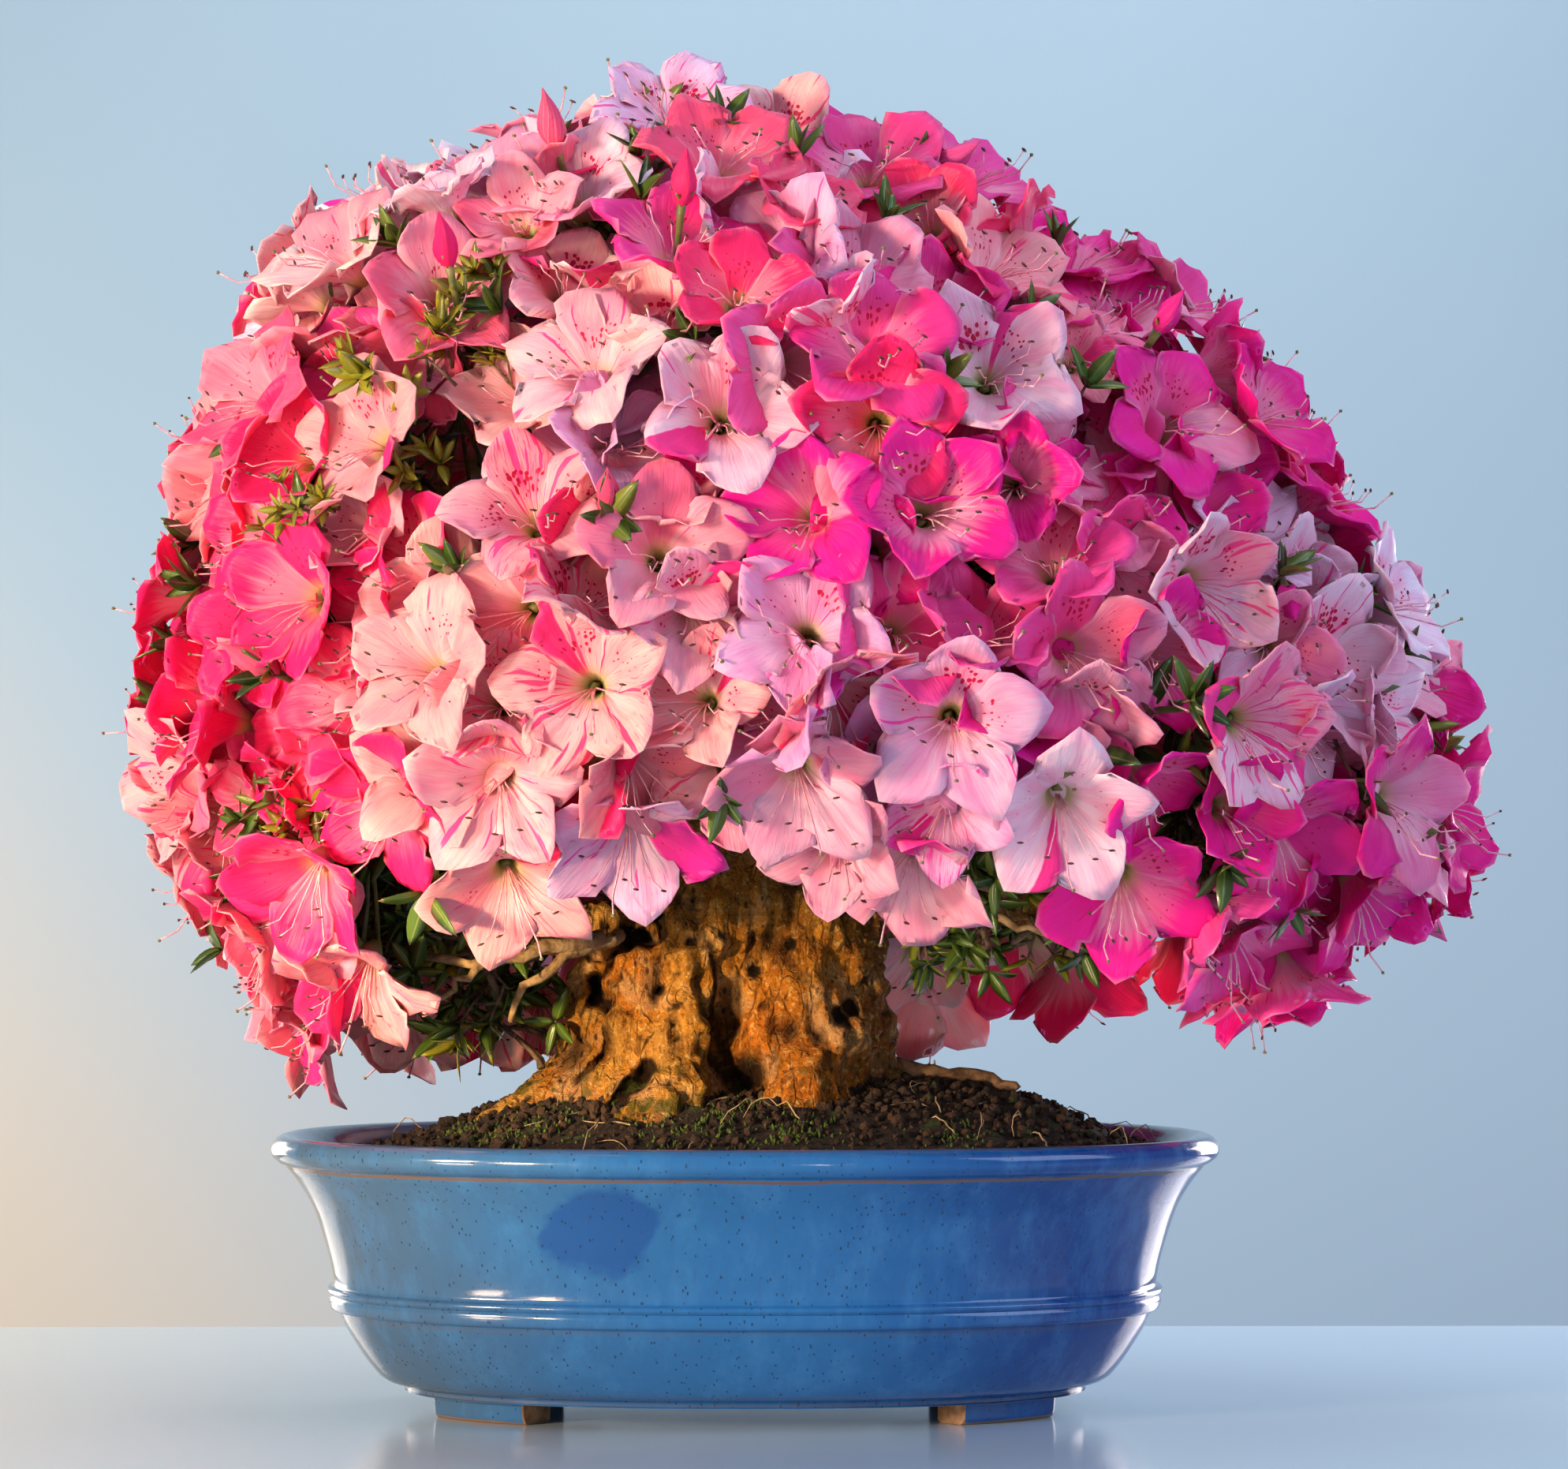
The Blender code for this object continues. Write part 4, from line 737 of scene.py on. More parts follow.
def bloom_colours(bloom):
    """Main and second colour, and how striped and blotched the bloom is."""
    draw = bloom.draw
    place = bloom.centre - MIDDLE
    warm_to = -0.15 + 0.07 * smoothstep(0.42, 0.34, place.z)
    warm = smoothstep(0.15, warm_to, place.x + draw.uniform(-0.10, 0.10))
    high = smoothstep(0.38, 0.49, place.z) * smoothstep(0.12, -0.04, place.x)
    low = smoothstep(0.27, 0.20, place.z) * smoothstep(0.10, 0.04, place.y)
    behind = smoothstep(0.06, 0.12, place.y) * smoothstep(0.23, 0.19, place.z)
    right = smoothstep(0.06, 0.20, place.x)
    left = smoothstep(-0.02, -0.08, place.x) * smoothstep(0.27, 0.33, place.z)
    coral_share = max(warm * (1 - 0.35 * high), behind)
    family = "coral" if draw.random() < coral_share or bloom.tone == "peach" else "magenta"
    deep = bloom.tone not in ("pale", "peach")
    if place.y < 0.02 or place.z < 0.20:
        near = {
            kind: min(math.hypot(place.x - x, place.z - z) for x, z in spots)
            for kind, spots in FRONT_PATCHES.items()
        }
        deep = near["deep"] < near["pale"]
    if draw.random() < 0.06 and bloom.under and bloom.tone != "peach":
        deep = not deep
    if deep:
        main, second = DEEP[family]
        striped, blotched = draw.choice((0.0, 0.0, 0.2)), draw.uniform(0.5, 1.0)
        pale_share = draw.choice((0.0, 0.0, 0.0, 0.08)) + high * draw.uniform(0.0, 0.30)
    else:
        main, second = PALE[family if draw.random() < 0.6 else "pale"]
        striped, blotched = draw.choice((0.1, 0.4, 0.8, 1.1)), draw.choice((0.5, 0.8, 1.1))
        whiter = 0.36 * high + 0.36 * right + 0.12 * left + 0.40 * behind
        pale_share = draw.uniform(0.05 + whiter, 0.60 + whiter) * (1 - 0.5 * low)
    if bloom.tone == "peach":
        pale_share = 0.9
    shade = draw.uniform(0.80, 1.06)
    main = [min(1.0, main[0] * (0.5 + 0.5 * shade)), main[1] * shade, main[2] * shade]
    white = (0.95, 0.60 + 0.22 * high, 0.57 + 0.22 * high) if family == "coral" else (0.88, 0.80, 0.92)
    main = [value + (target - value) * pale_share for value, target in zip(main, white)]
    return main, second, striped, blotched, deep


# The share of blooms in which some petals have a second tint.
MIXED_SHARE = 0.24


def second_tint(main, deep, draw):
    """The tint of the odd petals: nearly white in a deep bloom, pink in a pale one."""
    share = draw.uniform(0.30, 0.65) if deep else draw.uniform(0.35, 0.75)
    target = (0.93, 0.66, 0.74) if deep else (0.98, 0.14, 0.27)
    return [value + (aim - value) * share for value, aim in zip(main, target)]


def add_bloom(shape, bloom):
    """One bloom: corolla, stamens, pistil and stalk."""
    draw = bloom.draw
    main, second, striped, blotched, deep = bloom_colours(bloom)
    opening = draw.choice((0.97, 0.92, 0.86, 0.78, 0.68) if bloom.under else (1.0, 0.97, 0.93, 0.87, 0.76))
    points = thickened(corolla_points(draw, opening, draw.uniform(0.035, 0.095)))
    turn = np.array(axes_along(bloom.axis, bloom.upper))
    lateral = np.clip(np.hypot(points[:, 0], points[:, 1]) - 0.4, 0, 1) ** 2
    world = points @ turn.T
    world[:, 2] -= lateral * PETAL_SAG
    world = world * bloom.radius + np.array(bloom.centre)
    front = min(world[:, 1].min(), bloom.centre.y - STAMEN_REACH * bloom.radius)
    back = max(0.0, cad_box[0][1] - FRONT_SLACK - front)
    world[:, 1] += back
    bloom.centre = bloom.centre + Vector((0, back, 0))
    corners = COROLLA_CORNERS
    seed = draw.uniform(0, 60)
    count = len(corners)
    values = np.zeros((count, 12))
    values[:, 0:2] = corners[:, 0:2]
    values[:, 2] = seed + corners[:, 2] * 4.7
    petal = corners[:, 2].astype(int)
    tints = np.array([main] * PETALS)
    mixed = MIXED_SHARE * (1 + smoothstep(0.36, 0.46, bloom.centre.z - MIDDLE.z))
    if bloom.tone != "peach" and draw.random() < mixed:
        first, run = draw.randrange(PETALS), draw.choice((1, 2, 2, 3))
        other = second_tint(main, deep, draw)
        for k in range(first, first + run):
            tints[k % PETALS] = other
    edges = np.full(PETALS, 2.0)
    if not deep and draw.random() < 0.45:
        for _ in range(draw.choice((1, 1, 2))):
            chosen = draw.randrange(PETALS)
            edges[chosen] = draw.choice((-2.0, -0.1, 0.35, 0.6))
    values[:, 3:6] = tints[petal]
    values[:, 6:9] = second
    values[:, 9] = striped * np.array([draw.uniform(0.5, 1.2) for _ in range(PETALS)])[petal]
    values[:, 10] = blotched * np.array([1.0, 0.6, 0.0, 0.0, 0.6])[petal]
    values[:, 11] = edges[petal]
    shape.add(world, COROLLA_FACES, 0, values)
    if not bloom.deep:
        add_stamens(shape, bloom, turn)
    neck = bloom.centre - bloom.axis * 0.66 * bloom.radius
    path = curve_points([neck, neck - bloom.axis * 0.006, bloom.hub], 3)
    shape.add(*tube(path, [0.0024, 0.0014, 0.0010, 0.0010], 5, False), 3)


def add_stamens(shape, bloom, turn):
    """Five stamens and a longer pistil, which leave the throat towards the lower petals and curve up."""
    draw = bloom.draw
    down = math.pi
    spread = (0.0, 0.5, -0.5, 1.05, -1.05, 0.12)
    for number, side in enumerate(spread):
        pistil = number == len(spread) - 1
        angle = down + side + draw.uniform(-0.15, 0.15)
        out = draw.uniform(0.42, 0.62) if not pistil else 0.72
        rise = draw.uniform(0.05, 0.30) if not pistil else 0.42
        way = np.array([math.cos(angle), math.sin(angle)])
        route = [(0.02, -0.60), (0.10, -0.38), (0.45 * out, -0.12), (0.8 * out, 0.4 * rise), (out, rise)]
        local = [Vector((way[0] * r, way[1] * r, z)) for r, z in route]
        local[-1].x += 0.12
        path = [Vector(turn @ np.array(p)) * bloom.radius + bloom.centre for p in curve_points(local, 4)]
        size = 0.00032 if not pistil else 0.00045
        shape.add(*tube(path, [size * 1.2] * 2 + [size] * 3, 3, False), 1)
        tip = path[-1]
        cross = Vector(turn @ np.array([0.3, 1.0, 0.4])).normalized()
        length, width = (0.0014, 0.0007) if not pistil else (0.0008, 0.0009)
        knob = [tip - cross * length, tip, tip + cross * length]
        shape.add(*tube(knob, [width * 0.5, width, width * 0.5], 4, False), 2 if not pistil else 3)


# Buds seen at the photograph's angle: place and the way they point.
FRONT_BUDS = [
    ((-0.115, -0.158, 0.462), (-0.15, -0.45, 0.85)), ((-0.024, -0.158, 0.486), (0.10, -0.40, 0.90)),
    ((-0.075, -0.106, 0.517), (-0.20, -0.45, 0.80)), ((0.165, -0.130, 0.440), (0.45, -0.50, 0.70)),
]
BUD_ROWS, BUD_SIDES, BUD_LENGTH, BUD_RADIUS = 8, 10, 0.027, 0.0052


def build_buds(materials, spots):
    """Closed buds: five folded petals twisted round each other, small sepals and a stalk."""
    draw = random.Random(47)
    shape = Shape()
    places = [(MIDDLE + Vector(place), Vector(way).normalized()) for place, way in FRONT_BUDS]
    places += [(place - axis * 0.006, tilted(axis, draw, 0.7)) for place, axis in spots]
    for base, way in places:
        main, second = DEEP["coral" if base.x < MIDDLE.x else "magenta"]
        turn = axes_along(way, tilted(UP, draw, 0.9))
        size = draw.uniform(0.8, 1.1)
        points = []
        for row in range(BUD_ROWS + 1):
            t = row / BUD_ROWS
            thick = BUD_RADIUS * size * (0.30 + 0.75 * math.sin(math.pi * t**0.75)) * (1 - 0.85 * t**4)
            for k in range(BUD_SIDES):
                around = 2 * math.pi * k / BUD_SIDES + 1.3 * t
                fold = 1.0 + 0.16 * (1 if k % 2 else -1)
                x, y = math.cos(around) * thick * fold, math.sin(around) * thick * fold
                spot = Vector((x, y, BUD_LENGTH * size * t))
                points.append(base + turn @ spot)
        faces = rod_faces(BUD_ROWS + 1, BUD_SIDES)
        values = np.zeros((sum(len(face) for face in faces), 15))
        values[:, 0] = np.resize([-0.8, 0.8, 0.8, -0.8], len(values))
        values[:, 1] = 0.5
        values[:, 2] = draw.uniform(0, 60)
        values[:, 3:6], values[:, 6:9], values[:, 11] = main, second, 2.0
        shape.add(points, faces, 0, values)
        neck = base - way * 0.004
        stalk = [base + way * 0.002, neck, neck - way * 0.016]
        shape.add(*tube(stalk, [0.0022, 0.0016, 0.0012], 6, False), 2)
        for k in range(4):
            around = k * math.pi / 2 + draw.uniform(-0.3, 0.3)
            out = turn @ Vector((math.cos(around) * 0.45, math.sin(around) * 0.45, 0.9))
            blade = Shape()
            add_leaf(blade, base - way * 0.001, out.normalized(), way, 0.010, draw, True)
            rows = np.zeros((len(LEAF_CORNERS), 15))
            rows[:, 12:15] = blade.values[0][1]
            shape.add(blade.points[0], LEAF_FACES, 1, rows)
    shape.piece("buds", materials, PETAL_FIELDS + ("leaf",), "petals_coral")


# Pale blooms that hang behind the leaves on the trunk's left, and one behind the trunk on its right.
LOW_BLOOMS = [(-0.150, 0.040, 0.160), (-0.121, 0.070, 0.160), (-0.091, 0.080, 0.158), (0.081, 0.090, 0.184)]


# Added blooms: how many, their least spacing, the depth below the crown's surface, and the first seed.
BLOOMS_BETWEEN = (185, 0.0250, (0.002, 0.012), 1000)
BLOOMS_DEEPER = (120, 0.0140, (0.016, 0.026), 2000)
LOW_SEED = 3000
# Gaps between blooms: how many get leaves, and how far apart they are.
GAP_COUNT, GAP_SPACING = 60, 0.030


def build_blooms():
    """Fine blooms in the place of every CAD bunch, more between them, and buds. Returns the gaps left."""
    petals = petal_finish()
    filament = simple_finish("stamen threads", (0.80, 0.26, 0.38), (0.94, 0.62, 0.66), 300, 0.45)
    anther = simple_finish("anthers", (0.045, 0.012, 0.012), (0.16, 0.05, 0.03), 900, 0.6)
    stalk = simple_finish("bloom stalks", (0.10, 0.16, 0.03), (0.26, 0.20, 0.07), 220, 0.5)
    blooms = cad_blooms()
    spots = crown_spots(blooms)
    more = filled_in(spots, blooms, *BLOOMS_BETWEEN)
    deeper = filled_in(spots, blooms + more, *BLOOMS_DEEPER)
    for bloom in deeper:
        bloom.deep = True
    more += deeper
    for number, place in enumerate(LOW_BLOOMS):
        centre = MIDDLE + Vector(place)
        near = min(blooms, key=lambda bloom: (bloom.centre - centre).length)
        axis = Vector((-0.25 + 0.15 * number, -0.6, -0.7)).normalized()
        seed = LOW_SEED + number
        more.append(Bloom(centre, axis, UP, CAD_RADIUS, "peach", near.bunch, near.hub, seed, True))
    bunches = {}
    for bloom in blooms + more:
        bunches.setdefault(bloom.bunch, []).append(bloom)
    for name, members in sorted(bunches.items()):
        shape = Shape()
        for bloom in members:
            add_bloom(shape, bloom)
        tone = name.split("_")[1]
        materials = [petals, filament, anther, stalk]
        shape.piece("fine_" + name, materials, PETAL_FIELDS, f"petals_{tone}", [name])
    gaps = roomiest(spots, blooms + more, GAP_COUNT, GAP_SPACING)
    build_buds([petals, leaf_finish(), stalk], gaps[1::8])
    return gaps


# Pot

OVAL_POWER = 2.3
FLOOR_HALF_LENGTH = 0.118
LENGTH_OVER_WIDTH = 0.05
FLOOR_TOP = 0.016
POT_STEPS = 144


def oval_spot(half_length, turn):
    """A place on the pot's oval whose long half is half_length."""
    half_width = half_length - LENGTH_OVER_WIDTH * min(1.0, half_length / FLOOR_HALF_LENGTH)
    c, s = math.cos(turn), math.sin(turn)
    x = math.copysign(abs(c) ** (2 / OVAL_POWER), c) * half_length
    y = math.copysign(abs(s) ** (2 / OVAL_POWER), s) * half_width
    return x, y


# The deeper patch of glaze on the front: its place, and how its distance is squeezed along each axis.
PATCH_PLACE, PATCH_SQUEEZE = (-0.057, -0.13, 0.083), (1, 0.3, 1.25)


def glaze_finish():
    """Mottled blue glaze with fine streaks and specks, brown where it runs thin over an edge, with painted
    light across it: greyer at the lit left and deep navy in painted shade at the right.
    """
    made = Finish("blue glaze", 0.16, Coat_Weight=0.32, Coat_Roughness=0.06)
    made.shader.inputs["Specular IOR Level"].default_value = 0.36
    place = made.place()
    x, y, z = made.split(place)
    broad = made.noise(place, 9, 3.0, 0.6)
    # Partly the glaze's own change from light to deep blue, partly painted light: greyer at the lit left,
    # deep navy in painted shade at the right.
    across = made.maths("MULTIPLY_ADD", broad, 0.12, x)
    made.colour(made.step(across, -0.17, 0.03), (0.054, 0.112, 0.190), (0.020, 0.140, 0.390))
    made.cover(made.step(across, 0.06, 0.20), (0.000, 0.042, 0.230))
    cloud = made.noise(made.scaled(place, (60, 60, 26)), 1.0, 5.0, 0.68)
    made.cover(made.step(cloud, 0.42, 0.72, 0.0, 0.4), (0.05, 0.22, 0.52))
    runs = made.noise(made.scaled(place, (420, 420, 42)), 1.0, 3.0, 0.6)
    made.cover(made.step(runs, 0.55, 0.78, 0.0, 0.45), (0.035, 0.10, 0.26))
    # One deeper patch of glaze on the front.
    spot = tuple(a * b for a, b in zip(MIDDLE + Vector(PATCH_PLACE), PATCH_SQUEEZE))
    patch = made.node("VectorMath", 1, {0: made.scaled(place, PATCH_SQUEEZE), 1: spot}, operation="DISTANCE")
    edge = made.maths("ADD", patch, made.times(made.noise(place, 70, 2.0), 0.022))
    front = made.step(y, -0.06, -0.08)
    made.cover(made.times(made.step(edge, 0.037, 0.030, 0.0, 0.85), front), (0.010, 0.075, 0.30))
    # Dark specks, small and sparse, and a few larger ones.
    for scale, size, chance in ((520, 0.28, 0.42), (190, 0.13, 0.30)):
        spots = made.cells(made.scaled(place, (1, 1, 0.55)), scale)
        luck = made.cells(made.scaled(place, (1, 1, 0.55)), scale, "Color")
        lucky = made.step(luck, chance, chance - 0.02)
        dot = made.times(made.step(spots, size, size * 0.5), lucky)
        made.cover(made.times(dot, 0.8), (0.012, 0.03, 0.07))
    # Brown breaks: under the lip, along the belt's lower edge and at the foot of the pot.
    wander = made.maths("MULTIPLY_ADD", made.noise(place, 45, 3.0), 0.0022, z)
    for low, high, share in ((0.1037, 0.1050, 0.9), (0.0418, 0.0432, 0.18), (0.0108, 0.0122, 0.35)):
        line = made.times(made.step(wander, low - 0.0006, low), made.step(wander, high, high - 0.0006))
        made.cover(made.times(line, share), (0.13, 0.085, 0.06))
    bare = made.step(wander, 0.0026, 0.0018)
    made.cover(bare, (0.24, 0.14, 0.075))
    rim = made.times(made.step(wander, 0.1150, 0.1160), 0.35)
    made.cover(rim, (0.10, 0.12, 0.20))
    made.gloss(made.maths("MAXIMUM", made.step(cloud, 0.3, 0.8, 0.10, 0.24), made.times(bare, 0.7)))
    ripple = made.maths("ADD", made.noise(place, 26, 2.0), made.times(runs, 0.05))
    made.bump(ripple, 0.25, 0.0016)
    return made.material


# The pot's skin as half-length and height: the wall inside, the lip, the groove under it, the wall outside,
# the belt in two runs, the bowl below it, and the edge underneath. Each run starts where the last one ends.
SKIN_START, SKIN_UNDER = (FLOOR_HALF_LENGTH, FLOOR_TOP), (FLOOR_HALF_LENGTH, 0.009)
SKIN_RUNS = [
    [(0.138, 0.0185), (0.152, 0.032), (0.162, 0.056), (0.169, 0.085), (0.1835, 0.1075), (0.190, 0.1142)],
    [(0.1935, 0.1156), (0.1972, 0.1146), (0.1999, 0.1112), (0.1993, 0.1072), (0.1962, 0.1044)],
    [(0.1948, 0.1041), (0.1938, 0.1036), (0.1932, 0.1024)],
    [(0.1885, 0.0965), (0.1832, 0.0880), (0.1798, 0.0795), (0.1752, 0.0645), (0.1733, 0.0545)],
    [(0.1738, 0.0528), (0.1756, 0.0520), (0.1762, 0.0508), (0.1754, 0.0496), (0.1748, 0.0490)],
    [(0.1754, 0.0475), (0.1752, 0.0455), (0.1748, 0.0438), (0.1738, 0.0430), (0.1712, 0.0424)],
    [(0.1690, 0.0370), (0.1640, 0.0285), (0.1585, 0.0205), (0.1525, 0.0140), (0.1440, 0.0118)],
    [(0.1432, 0.0108), (0.1430, 0.0095), (0.1420, 0.0088), SKIN_UNDER],
]


def pot_outline():
    """The pot's skin from the middle of its floor over the lip to the middle below."""
    spots = [(0.0, FLOOR_TOP)]
    start = SKIN_START
    for run in SKIN_RUNS:
        run = [start] + run
        spots += [(p.x, p.y) for p in curve_points([(r, z, 0) for r, z in run], 2 * len(run))[:-1]]
        start = run[-1]
    return spots + [SKIN_UNDER, (0.0, SKIN_UNDER[1])]


# A foot's outline as half-length and height, in which the face after point number FOOT_SOLE is its sole.
FOOT_OUTLINE = [
    (0.1222, 0.012), (0.1396, 0.012), (0.1400, 0.0110), (0.1393, 0.0098), (0.1388, 0.0030),
    (0.1381, 0.0010), (0.1370, 0.0), (0.1235, 0.0), (0.1222, 0.0012),
]
FOOT_SOLE, FOOT_STEPS, FOOT_MIDDLE = 6, 26, 0.006


def foot_shape(shape, first, last):
    """One corner foot, a thick strip along the oval between two turns, with softened ends of bare clay."""
    points = []
    count = len(FOOT_OUTLINE)
    turns = [first + (last - first) * n / FOOT_STEPS for n in range(FOOT_STEPS + 1)]
    bevel = (last - first) * 0.012
    ends = [turns[0], turns[0] + bevel] + turns[1:-1] + [turns[-1] - bevel, turns[-1]]
    middle_r = sum(r for r, _ in FOOT_OUTLINE) / count
    for number, turn in enumerate(ends):
        inward = 0.93 if number in (0, len(ends) - 1) else 1.0
        for r, z in FOOT_OUTLINE:
            x, y = oval_spot(middle_r + (r - middle_r) * inward, turn)
            lifted = 0.97 if inward < 1 and z < FOOT_MIDDLE else 1.0
            points.append(Vector((x, y, FOOT_MIDDLE + (z - FOOT_MIDDLE) * lifted)) + MIDDLE)
    faces = rod_faces(len(ends), count)
    side = len(faces) - 2
    shape.add(points, faces)
    for n in range(len(faces)):
        if n >= side or n // count in (0, len(ends) - 2) or n % count == FOOT_SOLE:
            shape.slots[n - len(faces)] = 1


FOOT_HALF_LENGTH = 0.13
# A foot wraps each corner of the pot, between these distances from its middle, along and across the pot.
FOOT_ALONG, FOOT_ACROSS = 0.084, 0.036
DRAIN_PLACES, DRAIN_RADIUS, DRAIN_CUT = (-0.070, 0.070), 0.011, 0.04


def turn_where(wanted, axis):
    """The turn in the first quarter at which the oval's x or y has the wanted value."""
    low, high = 0.0, math.pi / 2
    for _ in range(40):
        middle = (low + high) / 2
        beyond = oval_spot(FOOT_HALF_LENGTH, middle)[axis] > wanted
        if beyond == (axis == 1):
            high = middle
        else:
            low = middle
    return (low + high) / 2


def build_pot():
    outline = pot_outline()
    points = [(0, 0, FLOOR_TOP)]
    for r, z in outline[1:-1]:
        points += [(*oval_spot(r, 2 * math.pi * k / POT_STEPS), z) for k in range(POT_STEPS)]
    points.append((0, 0, outline[-1][1]))
    faces = bowl_faces(len(outline) - 2, POT_STEPS)
    body = bpy.data.meshes.new("pot body")
    body.from_pydata([Vector(p) + MIDDLE for p in points], [], faces)
    holder = linked("pot body", body)
    cutters = []
    for x in DRAIN_PLACES:
        drain = bmesh.new()
        bmesh.ops.create_cone(
            drain, cap_ends=True, segments=32, radius1=DRAIN_RADIUS, radius2=DRAIN_RADIUS, depth=DRAIN_CUT
        )
        bmesh.ops.translate(drain, verts=drain.verts, vec=MIDDLE + Vector((x, 0, FLOOR_TOP)))
        mesh = bpy.data.meshes.new("drain")
        drain.to_mesh(mesh)
        drain.free()
        cutter = linked("drain", mesh)
        cut = holder.modifiers.new("drain", "BOOLEAN")
        cut.object, cut.operation, cut.solver = cutter, "DIFFERENCE", "MANIFOLD"
        cutters.append(cutter)
    body = applied(holder)
    for cutter in cutters:
        bpy.data.objects.remove(cutter)
    shape = Shape()
    shape.add([v.co for v in body.vertices], [list(p.vertices) for p in body.polygons])
    front, side = turn_where(FOOT_ALONG, 0), turn_where(FOOT_ACROSS, 1)
    for first, last in ((side, front), (math.pi - front, math.pi - side)):
        foot_shape(shape, first, last)
        foot_shape(shape, first + math.pi, last + math.pi)
    clay = simple_finish("fired clay", (0.20, 0.10, 0.05), (0.42, 0.25, 0.13), 160, 0.8, 0.0008)
    pot = shape.piece("fine_pot", [glaze_finish(), clay], (), "glaze", ["pot"])
    pot.data.set_sharp_from_angle(angle=math.radians(50))


def applied(obj):
    """The object's mesh with its modifiers applied. The object is removed."""
    bpy.context.view_layer.update()
    graph = bpy.context.evaluated_depsgraph_get()
    mesh = bpy.data.meshes.new_from_object(obj.evaluated_get(graph))
    bpy.data.objects.remove(obj)
    return mesh


# Trunk

# Places across and up, radius and height of bumps (above 0) and holes (below 0) on the trunk's front.
FRONT_MARKS = [
    (-0.0630, 0.1800, 0.0042, -0.013), (-0.0634, 0.1740, 0.0048, -0.013), (-0.0600, 0.1700, 0.0036, -0.009),
    (-0.0690, 0.1830, 0.0060, 0.003), (-0.0700, 0.1720, 0.0060, 0.004), (-0.0560, 0.1780, 0.0060, 0.003),
    (-0.0540, 0.1890, 0.0100, 0.006), (-0.0530, 0.1640, 0.0100, 0.005),
    (-0.0343, 0.2060, 0.0042, -0.011), (-0.0350, 0.2000, 0.0034, -0.008), (-0.0470, 0.1995, 0.0080, -0.007),
    (-0.0420, 0.1930, 0.0080, 0.005), (-0.0580, 0.2040, 0.0100, 0.006),
    (0.0000, 0.1430, 0.0080, -0.008), (0.0280, 0.1700, 0.0110, 0.004), (0.0440, 0.1690, 0.0042, -0.007),
    (0.0427, 0.1660, 0.0130, 0.008), (0.0375, 0.1650, 0.0048, -0.009), (0.0490, 0.1520, 0.0110, 0.006),
    (0.0520, 0.1860, 0.0120, 0.005), (0.0300, 0.1480, 0.0150, 0.005), (0.0180, 0.1600, 0.0080, -0.004),
    (0.0037, 0.1843, 0.0032, -0.007), (0.0190, 0.1957, 0.0030, -0.007), (0.0200, 0.2150, 0.0100, 0.004),
    (-0.0220, 0.1957, 0.0026, -0.005), (-0.0352, 0.1769, 0.0028, -0.006), (-0.0180, 0.1580, 0.0120, 0.004),
    (-0.0600, 0.1400, 0.0090, 0.005), (0.0090, 0.1700, 0.0026, -0.004), (-0.0480, 0.1700, 0.0120, 0.003),
    (-0.0790, 0.1350, 0.0080, 0.004), (-0.0260, 0.1380, 0.0100, 0.005), (0.0100, 0.1960, 0.0100, -0.003),
]
# Grooves in the trunk's front: start and end, each across and up, then radius and height.
FRONT_GROOVES = [
    ((-0.0590, 0.1600), (-0.0610, 0.1480), 0.0030, -0.0040),
    ((-0.0610, 0.1480), (-0.0690, 0.1390), 0.0030, -0.0040),
    ((-0.0415, 0.1450), (-0.0520, 0.1320), 0.0056, -0.0080),
    ((-0.0125, 0.1680), (-0.0060, 0.1440), 0.0026, -0.0040),
    ((0.0119, 0.2000), (0.0250, 0.1800), 0.0030, -0.0028),
    ((-0.0300, 0.1640), (-0.0260, 0.1400), 0.0030, -0.0026),
    ((0.0300, 0.1580), (0.0330, 0.1430), 0.0032, -0.0030),
    ((0.0120, 0.1640), (0.0150, 0.1440), 0.0028, -0.0024),
    ((-0.0480, 0.2060), (-0.0540, 0.1900), 0.0034, -0.0030),
    ((0.0000, 0.2150), (0.0030, 0.1900), 0.0028, -0.0024),
]
# Marks elsewhere on the trunk: place, radius and height.
OTHER_MARKS = [
    ((-0.068, -0.020, 0.150), 0.012, -0.005), ((0.060, 0.020, 0.170), 0.014, 0.006),
    ((0.000, 0.060, 0.170), 0.016, -0.007), ((-0.040, 0.055, 0.190), 0.015, 0.006),
    ((0.035, 0.058, 0.200), 0.008, -0.010), ((-0.070, 0.020, 0.180), 0.012, 0.007),
]


TRUNK_DETAIL = 0.0019
# Relief of the bark: the fineness of each kind of noise, and its height.
LUMPS, SMALL_LUMPS, KNOBS, CRUST = (26, 0.0075), (64, 0.0050), (130, 0.0021), (330, 0.0008)
RIDGE_FINENESS, RIDGE_HEIGHT = 80, 0.0040
PIT_FINENESS, PIT_DEPTH = 120, 0.0016
CLEFT_DEPTH, RIGHT_SIDE_DEPTH = 0.0042, 0.0055
CLEFT_HALF_WIDTH = 0.0034
# Holes under this radius go straight in from the front.
HOLE_RADIUS = 0.006
# A mark of this depth or more gets full painted shade inside, nearly black.
FULL_SHADE_DEPTH = 0.007
# Limbs that are nearer to the camera than this cross in front of the trunk.
LIMBS_BEFORE = -0.072


def groove_marks():
    """The grooves as rows of marks."""
    marks = []
    for (x1, z1), (x2, z2), radius, height in FRONT_GROOVES:
        steps = max(1, round(math.hypot(x2 - x1, z2 - z1) / radius / 1.3))
        for n in range(steps + 1):
            marks.append((x1 + (x2 - x1) * n / steps, z1 + (z2 - z1) * n / steps, radius, height))
    return marks


def cleft_x(z):
    """Where the groove down the trunk's front is, across, at a height."""
    return -0.006 - 0.17 * (z - 0.13) + 0.003 * math.sin(z * 110)


def trunk_front(skin, x, z):
    """Where the trunk's own front is, behind the limbs that cross it."""
    start = MIDDLE + Vector((x, -0.3, z))
    while True:
        struck = skin.ray_cast(start, Vector((0, 1, 0)))[0]
        if struck is None or struck.y - MIDDLE.y > LIMBS_BEFORE:
            return struck
        start = struck + Vector((0, 0.001, 0))


